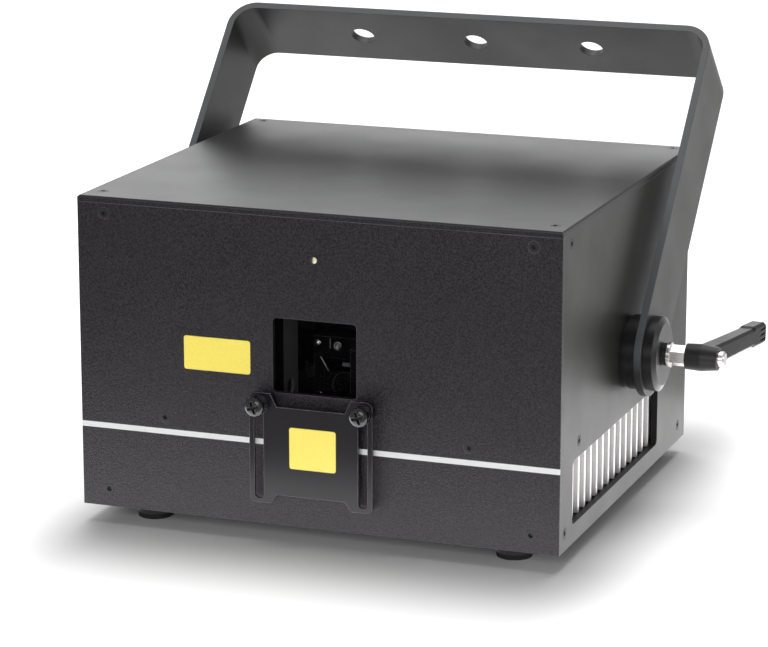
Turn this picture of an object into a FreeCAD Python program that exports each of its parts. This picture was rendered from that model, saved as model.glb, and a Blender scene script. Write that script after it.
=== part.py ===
"""Laser show projector: sheet-metal housing on rubber feet, beam window with a sliding shutter,
scanner and lasers on an optics plate, finned heatsink with fans, and a tilting mounting bracket."""
import FreeCAD
import Part
import Sketcher
import os
import re
from FreeCAD import Placement, Rotation, Vector

# Driving dimensions, in millimetres and degrees
SIZES = {
    # housing
    "body_width": 237.0,
    "body_depth": 215.0,
    "body_height": 150.0,
    "panel_thickness": 3.0,
    "cover_thickness": 3.0,
    "cover_chamfer": 0.8,
    "base_thickness": 2.0,
    "post_width": 18.0,
    # countersunk socket screws of the housing
    "screw_head_radius": 2.8,
    "screw_head_depth": 1.6,
    "screw_shank_radius": 1.5,
    "screw_length": 6.0,
    "fit_gap": 0.05,
    "cut_overrun": 1.0,
    "front_screw_inset": 13.5,
    "low_screw_height": 8.5,
    "high_screw_height": 142.2,
    "mid_screw_offset": 75.3,
    "side_screw_inset": 13.0,
    "side_low_inset": 8.0,
    "side_mid_inset": 28.7,
    "top_screw_side_inset": 7.65,
    "top_screw_front_inset": 12.5,
    "top_screw_rear_inset": 6.0,
    "base_screw_inset": 12.0,
    # feet
    "foot_height": 8.7,
    "foot_top_radius": 9.2,
    "foot_low_radius": 8.3,
    "foot_side_inset": 27.9,
    "foot_end_inset": 20.8,
    "foot_recess_radius": 4.4,
    "foot_recess_depth": 4.5,
    "foot_screw_radius": 2.0,
    "foot_screw_head_radius": 3.8,
    "foot_screw_head": 2.6,
    "foot_screw_grip": 3.0,
    # beam window, its glass and the emission lamp
    "window_width": 41.2,
    "window_height": 35.4,
    "window_centre_height": 81.7,
    "window_corner_radius": 1.8,
    "glass_margin": 4.0,
    "glass_thickness": 2.0,
    "lamp_height": 127.9,
    "lamp_radius": 1.5,
    "lamp_dome": 0.6,
    "lamp_flange_radius": 2.0,
    "lamp_flange": 1.0,
    "lamp_tail": 4.0,
    # side vents
    "vent_front_inset": 19.5,
    "vent_rear_inset": 52.2,
    "vent_low_height": 9.0,
    "vent_high_height": 39.3,
    "vent_corner_radius": 2.5,
    # optics plate and heatsink
    "optics_height": 46.7,
    "optics_thickness": 8.0,
    "rear_bay_depth": 44.0,
    "post_clearance": 0.3,
    "sink_recess": 4.0,
    "sink_base_thickness": 5.0,
    "fin_low_height": 8.0,
    "fin_thickness": 2.2,
    "fin_pitch": 9.83,
    "first_fin_inset": 22.7,
    "last_fin_inset": 54.7,
    # fans behind the left vent
    "fan_width": 40.0,
    "fan_depth": 15.0,
    "fan_pitch": 43.0,
    "fan_row_inset": 8.65,
    "fan_bore_radius": 19.0,
    "fan_tip_radius": 18.4,
    "fan_hub_radius": 10.0,
    "fan_hub_depth": 9.0,
    "fan_back_wall": 2.0,
    "fan_strut_width": 3.0,
    "fan_shaft_radius": 1.5,
    "fan_running_gap": 0.5,
    "fan_blade_thickness": 1.0,
    "fan_blade_height": 9.0,
    "fan_blade_angle": 35.0,
    "sink_fan_gap": 0.5,
    # shutter plate and its screws
    "shutter_gap": 3.9,
    "shutter_thickness": 1.5,
    "shutter_width": 60.8,
    "shutter_low_height": 11.9,
    "shutter_high_height": 64.7,
    "shutter_corner_radius": 3.0,
    "shutter_leg_width": 10.5,
    "shutter_mid_low_height": 16.2,
    "shutter_mid_high_height": 58.5,
    "shutter_shoulder": 3.0,
    "slot_offset": 25.7,
    "slot_width": 4.6,
    "slot_low_height": 13.8,
    "shutter_screw_height": 59.0,
    "shutter_shank_radius": 2.0,
    "shutter_washer_radius": 4.7,
    "shutter_washer": 1.0,
    "shutter_sleeve_radius": 3.7,
    "shutter_sleeve": 3.4,
    "pan_head_radius": 4.6,
    "pan_head_height": 3.0,
    "pan_head_rim": 1.4,
    "pan_head_top_radius": 2.6,
    "spacer_wall": 2.2,
    # mounting bracket, leaning back from the upright
    "bracket_tilt": 42.7,
    "pivot_from_front": 111.8,
    "pivot_height": 69.0,
    "bracket_reach": 174.5,
    "bracket_width": 41.7,
    "bracket_thickness": 3.5,
    "bend_radius": 10.5,
    "mounting_hole_radius": 6.25,
    "mounting_hole_pitch": 62.0,
    # pivot stack, from the side panel outwards
    "stud_radius": 3.0,
    "stud_gap": 0.2,
    "backing_width": 36.0,
    "backing_thickness": 8.0,
    "spacer_length": 7.4,
    "spacer_radius": 18.0,
    "spacer_foot_radius": 17.2,
    "spacer_foot_length": 1.6,
    "disc_radius": 18.0,
    "disc_thickness": 6.0,
    "disc_bevel_width": 3.0,
    "disc_bevel_depth": 1.6,
    "disc_boss_radius": 5.5,
    "disc_boss_length": 2.0,
    "steel_washer_radius": 6.0,
    "steel_washer_thickness": 1.5,
    "stud_grip": 10.5,
    # clamping lever
    "hex_flats": 9.0,
    "hex_length": 7.5,
    "spigot_radius": 4.0,
    "spigot_length": 8.0,
    "lever_gap": 0.2,
    "lever_screw_radius": 1.5,
    "lever_screw_depth": 4.0,
    "lever_head_radius": 3.7,
    "lever_head_length": 4.0,
    "lever_head_bevel": 0.7,
    "hub_length": 15.5,
    "hub_end_radius": 6.2,
    "hub_mid_radius": 6.6,
    "hub_outer_radius": 5.6,
    "hub_web_low": 8.5,
    "hub_web_thickness": 1.5,
    "hub_pocket_depth": 5.5,
    "arm_length": 62.0,
    "arm_waist_run": 20.0,
    "arm_step_run": 45.5,
    "arm_grip_run": 47.0,
    "arm_nose_run": 58.0,
    "arm_root_low": 2.5,
    "arm_root_high": 12.5,
    "arm_tip_low": 17.0,
    "arm_tip_high": 25.0,
    "arm_root_half": 5.0,
    "arm_waist_half": 4.6,
    "arm_step_half": 4.5,
    "arm_grip_half": 5.3,
    "arm_tip_half": 3.9,
    "arm_bevel": 1.3,
    "arm_tip_trim": 1.6,
    "grip_groove_width": 1.0,
    "grip_groove_depth": 0.6,
    "grip_groove_length": 9.0,
    "grip_groove_end": 2.0,
    "grip_groove_pitch": 2.6,
    # scanner
    "scan_offset": 1.5,
    "scan_depth": 26.0,
    "scan_height": 73.0,
    "scan_apart": 13.0,
    "scan_mirror_thickness": 0.8,
    "scan_mirror_length": 12.0,
    "x_mirror_width": 7.0,
    "y_mirror_width": 12.0,
    "mirror_lean": 45.0,
    "scan_stem_start": 3.0,
    "scan_stem_radius": 2.4,
    "scan_stem_length": 4.0,
    "scan_shaft_radius": 1.5,
    "scan_shaft_length": 3.0,
    "scan_running_gap": 0.08,
    "scan_motor_radius": 6.5,
    "scan_motor_length": 26.0,
    "scan_block_reach": 16.0,
    "scan_block_depth": 16.0,
    "scan_block_margin": 3.7,
    "shroud_thickness": 1.5,
    "shroud_side_gap": 1.5,
    "shroud_depth": 30.0,
    "shroud_flange": 8.0,
    "shroud_rise": 60.0,
    "beam_port_radius": 4.0,
    # lasers and combining mirrors
    "laser_length": 30.0,
    "laser_width": 24.0,
    "laser_tall": 26.0,
    "laser_pitch": 31.5,
    "laser_side_gap": 9.0,
    "first_laser_inset": 50.0,
    "laser_barrel_radius": 6.0,
    "laser_barrel_length": 9.0,
    "laser_flange_length": 8.0,
    "laser_flange_thickness": 3.5,
    "combiner_offset": 40.0,
    "mirror_side": 14.0,
    "mirror_thickness": 1.6,
    "mirror_mount_thickness": 5.0,
    "mirror_mount_width": 16.0,
    "mirror_grip": 3.0,
    "fold_angle": 135.0,
    "combiner_angle": -45.0,
    # boards and power supply
    "board_thickness": 1.6,
    "board_standoff": 6.0,
    "standoff_radius": 2.6,
    "standoff_inset": 5.0,
    "driver_board_width": 60.0,
    "driver_board_depth": 44.0,
    "driver_board_inset": 26.0,
    "driver_board_pitch": 50.0,
    "driver_side_gap": 10.0,
    "chip_height": 7.0,
    "supply_width": 60.0,
    "supply_depth": 30.0,
    "supply_height": 60.0,
    "supply_gap": 2.0,
    "supply_side_gap": 12.0,
    "supply_chamfer": 2.0,
    # rear panel fittings
    "control_board_width": 100.0,
    "control_board_height": 42.0,
    "control_board_low": 98.0,
    "control_board_inset": 3.5,
    "control_board_gap": 14.0,
    "upper_row_height": 118.0,
    "lower_row_height": 82.0,
    "mains_height": 32.0,
    "mains_inset": 26.0,
    "inlet_flange_width": 48.0,
    "inlet_flange_height": 28.0,
    "inlet_flange_thickness": 2.5,
    "inlet_body_width": 29.0,
    "inlet_body_height": 22.0,
    "inlet_body_depth": 22.0,
    "inlet_recess_width": 24.6,
    "inlet_recess_height": 17.0,
    "inlet_recess_depth": 16.0,
    "inlet_recess_bevel": 4.0,
    "inlet_pin_width": 2.0,
    "inlet_pin_height": 4.5,
    "inlet_pin_length": 13.0,
    "inlet_pin_spread": 7.0,
    "inlet_pin_drop": 2.0,
    "panel_fit_gap": 0.2,
    "rocker_pitch": 38.0,
    "rocker_frame_width": 20.0,
    "rocker_frame_height": 28.0,
    "rocker_frame_thickness": 2.0,
    "rocker_body_depth": 18.0,
    "rocker_wall": 2.5,
    "rocker_lip": 1.2,
    "rocker_gap": 0.8,
    "rocker_rest_angle": 10.0,
    "rocker_crest": 2.2,
    "rocker_wing_rise": 1.7,
    "rocker_root_depth": 6.0,
    "rocker_root_half": 4.0,
    "rocker_pin_radius": 1.2,
    "rocker_pin_gap": 0.08,
    "rocker_floor_gap": 2.0,
    "key_pitch": 25.0,
    "lock_rim_radius": 10.5,
    "lock_rim_length": 3.5,
    "lock_body_radius": 8.5,
    "lock_body_length": 20.0,
    "key_shaft_radius": 3.6,
    "key_bore_depth": 8.0,
    "key_running_gap": 0.08,
    "key_neck_length": 5.0,
    "key_bow_radius": 9.0,
    "key_bow_thickness": 2.4,
    "key_ring_radius": 2.4,
    "interlock_inset": 10.0,
    "interlock_rim_radius": 8.0,
    "interlock_rim_length": 2.5,
    "interlock_plug_radius": 6.0,
    "interlock_stem_radius": 3.6,
    "interlock_stem_length": 12.0,
    "interlock_body_radius": 6.8,
    "interlock_plug_length": 9.0,
    "interlock_body_length": 16.0,
    "data_inset": 40.0,
    "data_pitch": 20.0,
    "data_flange_width": 53.0,
    "data_flange_height": 12.5,
    "data_flange_thickness": 1.2,
    "data_shell_width": 40.0,
    "data_shell_taper": 2.0,
    "data_shell_height": 9.0,
    "data_shell_length": 5.8,
    "data_body_depth": 10.0,
    "data_post_radius": 2.6,
    "data_post_spread": 23.5,
    "data_post_length": 5.0,
    "data_shell_wall": 0.5,
    "data_cavity_depth": 5.0,
    "data_insert_inset": 0.9,
    "data_insert_height": 4.6,
    "data_pin_pitch": 2.76,
    "data_row_gap": 2.84,
    "data_pin_radius": 0.5,
    "data_pin_length": 4.4,
    "dmx_inset": 20.0,
    "dmx_pitch": 32.0,
    "dmx_flange_width": 26.0,
    "dmx_flange_height": 31.0,
    "dmx_flange_thickness": 2.0,
    "dmx_barrel_radius": 11.8,
    "dmx_barrel_length": 2.0,
    "dmx_body_length": 22.0,
    "dmx_cavity_radius": 9.0,
    "dmx_cavity_depth": 12.0,
    "dmx_pin_radius": 1.2,
    "dmx_pin_circle": 5.2,
    "dmx_pin_length": 9.0,
    "display_inset": 4.0,
    "display_width": 46.0,
    "display_height": 20.0,
    "display_lip": 1.6,
    "display_lip_thickness": 1.2,
    "button_lead": 12.0,
    "button_pitch": 12.0,
    "button_radius": 3.6,
    "button_gap": 0.1,
    "button_proud": 1.8,
    "button_flange_radius": 4.8,
    "button_flange": 1.0,
    "button_travel": 0.9,
    "button_switch_width": 6.0,
    "eye_inset": 10.5,
    "eye_height": 32.0,
    "eye_base_width": 34.0,
    "eye_base_height": 18.0,
    "eye_thickness": 3.0,
    "eye_reach": 14.0,
    "eye_end_radius": 9.0,
    "eye_hole_radius": 5.0,
}
BLADE_COUNT = 7
GROOVE_COUNT = 3
LASER_COUNT = 3
BUTTON_COUNT = 4
PAIR = (-1, 1)

doc = FreeCAD.newDocument("LaserShowProjector")
sheet = doc.addObject("Spreadsheet::Sheet", "Sizes")
for row, (alias, size) in enumerate(SIZES.items(), start=1):
    sheet.set(f"A{row}", alias)
    sheet.set(f"B{row}", str(size))
    sheet.setAlias(f"B{row}", alias)
doc.recompute()

# Main planes of the housing, written in the named sizes
FRONT_REACH = "(shutter_gap + shutter_thickness + shutter_washer + shutter_sleeve + pan_head_height)"
REAR_REACH = ("(pivot_from_front + bracket_reach * sin(bracket_tilt)"
              " + bracket_width / 2 * cos(bracket_tilt))")
FRONT = f"(({FRONT_REACH} - {REAR_REACH}) / 2)"
REAR = f"({FRONT} + body_depth)"
INNER_FRONT = f"({FRONT} + panel_thickness)"
INNER_REAR = f"({REAR} - panel_thickness)"
SIDE = "(body_width / 2)"
INNER_SIDE = "(body_width / 2 - panel_thickness)"
LOW = "foot_height"
FLOOR = "(foot_height + base_thickness)"
CEILING = "(foot_height + body_height - cover_thickness)"
TOP = "(foot_height + body_height)"
PIVOT_Y = f"({FRONT} + pivot_from_front)"
PIVOT_Z = "(foot_height + pivot_height)"
DECK = "(foot_height + optics_height + optics_thickness / 2)"
DECK_UNDER = "(foot_height + optics_height - optics_thickness / 2)"

TURNS = {
    "+X": Rotation(Vector(0, 1, 0), 90),
    "-X": Rotation(Vector(0, 1, 0), -90),
    "+Y": Rotation(Vector(1, 0, 0), -90),
    "-Y": Rotation(Vector(1, 0, 0), 90),
    "+Z": Rotation(),
    "-Z": Rotation(Vector(1, 0, 0), 180),
}
nodes = []


# Helpers: names in an expression are cells of the sheet
def named(text):
    """The expression with each size written as a cell of the sheet."""
    return re.sub(r"[a-z]+(?:_[a-z0-9]+)+", lambda match: f"Sizes.{match.group(0)}", text)


def val(text):
    """The value of an expression in named sizes."""
    value = sheet.evalExpression(named(text))
    return float(getattr(value, "Value", value))


def bind(thing, **properties):
    for name, text in properties.items():
        thing.setExpression(name, named(text))


def seat(thing, x="0", y="0", z="0", toward="+Z"):
    """Places an object with its own +Z turned toward a row axis."""
    thing.Placement = Placement(Vector(val(x), val(y), val(z)), TURNS[toward])
    for axis, text in (("x", x), ("y", y), ("z", z)):
        thing.setExpression(f"Placement.Base.{axis}", named(text))
    return thing


def block(name, x, y, z):
    """A box between two places on each axis."""
    box = doc.addObject("Part::Box", name)
    bind(box, Length=f"({x[1]}) - ({x[0]})", Width=f"({y[1]}) - ({y[0]})", Height=f"({z[1]}) - ({z[0]})")
    return seat(box, x[0], y[0], z[0])


def rod(name, radius, length, x="0", y="0", z="0", toward="+Z"):
    cylinder = doc.addObject("Part::Cylinder", name)
    bind(cylinder, Radius=radius, Height=length)
    return seat(cylinder, x, y, z, toward)


def cut(name, base, *tools):
    result = doc.addObject("Part::Cut", name)
    result.Base = base
    result.Tool = tools[0] if len(tools) == 1 else bundle(f"{name}_tools", *tools)
    doc.recompute()
    return result


def fuse(name, *pieces):
    result = doc.addObject("Part::MultiFuse", name)
    result.Shapes = list(pieces)
    result.Refine = True
    doc.recompute()
    return result


def bundle(name, *pieces):
    """Separate solids kept together as one object."""
    result = doc.addObject("Part::Compound", name)
    result.Links = list(pieces)
    doc.recompute()
    return result


def common(name, first, second):
    result = doc.addObject("Part::Common", name)
    result.Base = first
    result.Tool = second
    doc.recompute()
    return result


def draw(sketch, points):
    """A closed outline of straight runs, each corner bound to the sheet."""
    first = sketch.GeometryCount
    spots = [Vector(val(u), val(v), 0) for u, v in points]
    for start, end in zip(spots, spots[1:] + spots[:1]):
        sketch.addGeometry(Part.LineSegment(start, end), False)
    for index in range(len(points)):
        after = first + (index + 1) % len(points)
        sketch.addConstraint(Sketcher.Constraint("Coincident", first + index, 2, after, 1))
    for index, (u, v) in enumerate(points):
        corner = first + index
        for kind, axis, text, value in (("DistanceX", -2, u, spots[index].x),
                                        ("DistanceY", -1, v, spots[index].y)):
            if text == "0":
                sketch.addConstraint(Sketcher.Constraint("PointOnObject", corner, 1, axis))
            else:
                bound = sketch.addConstraint(Sketcher.Constraint(kind, -1, 1, corner, 1, value))
                sketch.setExpression(f"Constraints[{bound}]", named(text))


def profile(body, role, *outlines):
    sketch = body.newObject("Sketcher::SketchObject", f"{body.Name}_profile")
    origin_plane = next(plane for plane in body.Origin.OriginFeatures if plane.Role == role)
    sketch.AttachmentSupport = [(origin_plane, "")]
    sketch.MapMode = "FlatFace"
    for outline in outlines:
        draw(sketch, outline)
    return sketch


def turned(name, points):
    """A body of revolution about its own Z, from corners given as radius and height."""
    body = doc.addObject("PartDesign::Body", name)
    revolution = body.newObject("PartDesign::Revolution", f"{name}_turn")
    revolution.Profile = profile(body, "XZ_Plane", points)
    revolution.ReferenceAxis = (revolution.Profile[0], ["V_Axis"])
    revolution.Angle = 360
    doc.recompute()
    return body


def ring(name, inner, outer, low, high):
    return turned(name, [(inner, low), (outer, low), (outer, high), (inner, high)])


def padded(name, role, length, *outlines, midplane=False, reverse=False):
    """A body of one thickness, from closed outlines in one of its own planes."""
    body = doc.addObject("PartDesign::Body", name)
    pad = body.newObject("PartDesign::Pad", f"{name}_pad")
    pad.Profile = profile(body, role, *outlines)
    pad.setExpression("Length", named(length))
    pad.Midplane = midplane
    pad.Reversed = reverse
    doc.recompute()
    return body


def lofted(name, role, sections):
    """A body drawn through outlines at set distances from one of its own planes."""
    body = doc.addObject("PartDesign::Body", name)
    sketches = []
    for distance, outline in sections:
        sketch = profile(body, role, outline)
        sketch.AttachmentOffset = Placement(Vector(0, 0, val(distance)), Rotation())
        sketch.setExpression("AttachmentOffset.Base.z", named(distance))
        sketches.append(sketch)
    loft = body.newObject("PartDesign::AdditiveLoft", f"{name}_loft")
    loft.Profile = sketches[0]
    loft.Sections = sketches[1:]
    loft.Ruled = True
    doc.recompute()
    return body


def round_edges(body, radius, wanted):
    """Rounds the edges of a body for which the test is true."""
    last = body.Tip
    names = [f"Edge{index}" for index, edge in enumerate(last.Shape.Edges, start=1) if wanted(edge)]
    fillet = body.newObject("PartDesign::Fillet", f"{body.Name}_round")
    fillet.Base = (last, names)
    fillet.setExpression("Radius", named(radius))
    doc.recompute()
    return body


def runs_along(edge, axis):
    direction = edge.Vertexes[-1].Point - edge.Vertexes[0].Point
    if not direction.Length:
        return False
    direction.normalize()
    return direction.isEqual(axis, 1e-6) or direction.isEqual(-axis, 1e-6)


def copies(name, piece, places):
    """Copies of one piece at (x, y, z, direction of its own +Z), kept together as one object."""
    doc.recompute()
    shapes = []
    for x, y, z, toward in places:
        shape = piece.Shape.copy()
        spot = Placement(Vector(val(x), val(y), val(z)), TURNS[toward])
        shape.Placement = spot.multiply(shape.Placement)
        shapes.append(shape)
    result = doc.addObject("Part::Feature", name)
    result.Shape = shapes[0] if len(shapes) == 1 else Part.makeCompound(shapes)
    return result


def node(label, thing):
    """Marks an object as a sub-part of the projector, under its own name."""
    thing.Label = label
    nodes.append(thing)
    return thing


# Screw places: x, y, z of the head's outer face and the way that the head looks
front_screws = [(f"{side} * (body_width / 2 - front_screw_inset)", FRONT, f"foot_height + {height}", "-Y")
                for side in PAIR for height in ("low_screw_height", "high_screw_height")]
front_screws += [(f"{side} * mid_screw_offset", FRONT, "foot_height + optics_height", "-Y") for side in PAIR]
rear_screws = [(x, REAR, z, "+Y") for x, _, z, _ in front_screws[:4]]
top_screws = [(f"{side} * (body_width / 2 - top_screw_side_inset)", y, TOP, "+Z")
              for side in PAIR for y in (f"{FRONT} + top_screw_front_inset",
                                         f"{REAR} - top_screw_rear_inset")]
base_screws = [(f"{side} * (body_width / 2 - base_screw_inset)", y, LOW, "-Z")
               for side in PAIR for y in (f"{FRONT} + base_screw_inset", f"{REAR} - base_screw_inset")]
side_spots = [(f"{FRONT} + side_screw_inset", "foot_height + high_screw_height"),
              (f"{FRONT} + side_low_inset", "foot_height + low_screw_height"),
              (f"{FRONT} + side_mid_inset", "foot_height + optics_height"),
              (f"{REAR} - side_screw_inset", "foot_height + high_screw_height"),
              (f"{REAR} - side_screw_inset", "foot_height + low_screw_height")]
right_screws = [(SIDE, y, z, "+X") for y, z in side_spots]
left_screws = [(f"-{SIDE}", y, z, "-X") for y, z in side_spots]
all_screws = front_screws + rear_screws + top_screws + base_screws + right_screws + left_screws


def screw_profile(gap, overrun):
    """Corners of a countersunk screw hanging below its head's face, grown by a gap."""
    head = f"(screw_head_radius + {gap})"
    shank = f"(screw_shank_radius + {gap})"
    return [("0", f"{overrun}"), (head, f"{overrun}"), (head, "0"), (shank, "-screw_head_depth"),
            (shank, f"-screw_length - {gap}"), ("0", f"-screw_length - {gap}")]


housing_screw = turned("housing_screw", [("0", "0"), ("screw_head_radius", "0"),
                                         ("screw_shank_radius", "-screw_head_depth"),
                                         ("screw_shank_radius", "-screw_length"), ("0", "-screw_length")])
screw_cutter = turned("screw_cutter", screw_profile("fit_gap", "cut_overrun"))
screw_holes = copies("screw_holes", screw_cutter, all_screws)
node("housing_screws", copies("housing_screws", housing_screw, all_screws))


# Feet
foot = turned("foot_pattern", [("foot_screw_radius + fit_gap", "foot_recess_depth"),
                               ("foot_recess_radius", "foot_recess_depth"), ("foot_recess_radius", "0"),
                               ("foot_low_radius", "0"), ("foot_top_radius", "foot_height"),
                               ("foot_screw_radius + fit_gap", "foot_height")])
foot_screw = turned("foot_screw_pattern", [
    ("0", "foot_recess_depth - foot_screw_head"),
    ("foot_screw_head_radius", "foot_recess_depth - foot_screw_head"),
    ("foot_screw_head_radius", "foot_recess_depth"), ("foot_screw_radius", "foot_recess_depth"),
    ("foot_screw_radius", "foot_height + base_thickness + foot_screw_grip"),
    ("0", "foot_height + base_thickness + foot_screw_grip")])
foot_places = [(f"{side} * (body_width / 2 - foot_side_inset)", y, "0", "+Z")
               for side in PAIR for y in (f"{FRONT} + foot_end_inset", f"{REAR} - foot_end_inset")]
node("rubber_feet", copies("rubber_feet", foot, foot_places))
node("foot_screws", copies("foot_screws", foot_screw, foot_places))


# Base plate, corner posts and top cover
base_blank = block("base_blank", (f"-{INNER_SIDE}", INNER_SIDE), (INNER_FRONT, INNER_REAR), (LOW, FLOOR))
foot_hole = rod("foot_hole", "foot_screw_radius + fit_gap", "foot_height + base_thickness + cut_overrun")
node("base_plate", cut("base_plate", base_blank, screw_holes, copies("foot_holes", foot_hole, foot_places)))

posts = []
for x_side in PAIR:
    for end, (start, stop) in {"front": (INNER_FRONT, f"{INNER_FRONT} + post_width"),
                               "rear": (f"{INNER_REAR} - post_width", INNER_REAR)}.items():
        edges = sorted((f"{x_side} * {INNER_SIDE}", f"{x_side} * ({INNER_SIDE} - post_width)"), key=val)
        posts.append(block(f"{end}_post", edges, (start, stop), (FLOOR, CEILING)))
node("corner_posts", cut("corner_posts", bundle("post_blanks", *posts), screw_holes))

cover = padded("cover_blank", "XY_Plane", "cover_thickness",
               [(f"-{SIDE}", FRONT), (SIDE, FRONT), (SIDE, REAR), (f"-{SIDE}", REAR)])
rim = [f"Edge{index}" for index, edge in enumerate(cover.Tip.Shape.Edges, start=1)
       if min(vertex.Z for vertex in edge.Vertexes) > val("cover_thickness") / 2]
cover_pad = cover.Tip
chamfer = cover.newObject("PartDesign::Chamfer", "cover_edge")
chamfer.Base = (cover_pad, rim)
chamfer.setExpression("Size", named("cover_chamfer"))
doc.recompute()
seat(cover, z=CEILING)
node("top_cover", cut("top_cover", cover, screw_holes))


# Front panel with its window, lamp hole and the two tapped holes of the shutter screws
def panel_outline():
    return [(f"-{SIDE}", LOW), (SIDE, LOW), (SIDE, CEILING), (f"-{SIDE}", CEILING)]


def opening(width, height, middle):
    half = f"{width} / 2"
    return [(f"-{half}", f"{middle} - {height} / 2"), (half, f"{middle} - {height} / 2"),
            (half, f"{middle} + {height} / 2"), (f"-{half}", f"{middle} + {height} / 2")]


WINDOW_Z = "(foot_height + window_centre_height)"
SHUTTER_SCREW_Z = "(foot_height + shutter_screw_height)"
front = padded("front_blank", "XZ_Plane", "panel_thickness", panel_outline(),
               opening("window_width", "window_height", WINDOW_Z), reverse=True)
round_edges(front, "window_corner_radius", lambda edge: runs_along(edge, Vector(0, 1, 0))
            and abs(edge.CenterOfMass.x) < val("window_width"))
seat(front, y=FRONT)
shutter_spots = [(f"{side} * slot_offset", FRONT, SHUTTER_SCREW_Z, "-Y") for side in PAIR]
tapped_hole = rod("tapped_hole", "shutter_shank_radius + fit_gap", "panel_thickness + 2 * cut_overrun",
                  z="-panel_thickness - cut_overrun")
lamp_hole = rod("lamp_hole", "lamp_radius + fit_gap", "panel_thickness + 2 * cut_overrun",
                y=f"{FRONT} - cut_overrun",
                z="foot_height + lamp_height", toward="+Y")
node("front_panel", cut("front_panel", front, screw_holes, lamp_hole,
                        copies("tapped_holes", tapped_hole, shutter_spots)))
lamp = turned("lamp_pattern", [
    ("0", "lamp_dome"), ("lamp_radius / 2", "lamp_dome"), ("lamp_radius", "0"),
    ("lamp_radius", "-panel_thickness"),
    ("lamp_flange_radius", "-panel_thickness"), ("lamp_flange_radius", "-panel_thickness - lamp_flange"),
    ("lamp_radius", "-panel_thickness - lamp_flange"), ("lamp_radius", "-panel_thickness - lamp_tail"),
    ("0", "-panel_thickness - lamp_tail")])
node("emission_lamp", copies("emission_lamp", lamp, [("0", FRONT, "foot_height + lamp_height", "-Y")]))
node("window_glass", block("window_glass",
                           ("-window_width / 2 - glass_margin", "window_width / 2 + glass_margin"),
                           (INNER_FRONT, f"{INNER_FRONT} + glass_thickness"),
                           (f"{WINDOW_Z} - window_height / 2 - glass_margin",
                            f"{WINDOW_Z} + window_height / 2 + glass_margin")))


# Side panels with the vent opening and the pivot hole
VENT_REAR = f"({REAR} - vent_rear_inset)"
vent = padded("vent_cutter", "YZ_Plane", "body_width + 2 * cut_overrun", [
    (f"{FRONT} + vent_front_inset", "foot_height + vent_low_height"),
    (VENT_REAR, "foot_height + vent_low_height"),
    (VENT_REAR, "foot_height + vent_high_height"),
    (f"{FRONT} + vent_front_inset", "foot_height + vent_high_height")], midplane=True)
round_edges(vent, "vent_corner_radius", lambda edge: runs_along(edge, Vector(1, 0, 0)))
pivot_hole = rod("pivot_hole", "stud_radius + fit_gap", "body_width + 2 * cut_overrun",
                 x=f"-{SIDE} - cut_overrun", y=PIVOT_Y, z=PIVOT_Z, toward="+X")
for label, (inner, outer) in {"left_side_panel": (f"-{SIDE}", f"-{INNER_SIDE}"),
                              "right_side_panel": (INNER_SIDE, SIDE)}.items():
    sheet_blank = block(f"{label}_blank", (inner, outer), (INNER_FRONT, INNER_REAR), (LOW, CEILING))
    node(label, cut(label, sheet_blank, screw_holes, vent, pivot_hole))


# Optics plate between the panels, notched round the front posts, and the heatsink below it
PLATE_REAR = f"({INNER_REAR} - rear_bay_depth)"
notch_in = f"({INNER_SIDE} - post_width - post_clearance)"
notch_back = f"({INNER_FRONT} + post_width + post_clearance)"
plate = padded("optics_blank", "XY_Plane", "optics_thickness", [
    (f"-{notch_in}", INNER_FRONT), (notch_in, INNER_FRONT), (notch_in, notch_back), (INNER_SIDE, notch_back),
    (INNER_SIDE, PLATE_REAR), (f"-{INNER_SIDE}", PLATE_REAR), (f"-{INNER_SIDE}", notch_back),
    (f"-{notch_in}", notch_back)])
seat(plate, z=DECK_UNDER)
node("optics_plate", cut("optics_plate", plate, screw_holes))

FAN_INNER = f"(-{INNER_SIDE} + fan_depth)"
SINK_LEFT = f"({FAN_INNER} + sink_fan_gap)"
SINK_RIGHT = f"({SIDE} - sink_recess)"
FIN_COUNT = 1 + round(val("(body_depth - first_fin_inset - last_fin_inset) / fin_pitch"))
fin_rows = [f"({FRONT} + first_fin_inset + {index} * fin_pitch)" for index in range(FIN_COUNT)]
sink_base = block("sink_base", (SINK_LEFT, SINK_RIGHT),
                  (f"{fin_rows[0]} - fin_thickness / 2", f"{fin_rows[-1]} + fin_thickness / 2"),
                  (f"{DECK_UNDER} - sink_base_thickness", DECK_UNDER))
fins = [block("fin", (SINK_LEFT, SINK_RIGHT), (f"{row} - fin_thickness / 2", f"{row} + fin_thickness / 2"),
              ("foot_height + fin_low_height", f"{DECK_UNDER} - sink_base_thickness")) for row in fin_rows]
node("heatsink", fuse("heatsink", sink_base, *fins))


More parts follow.
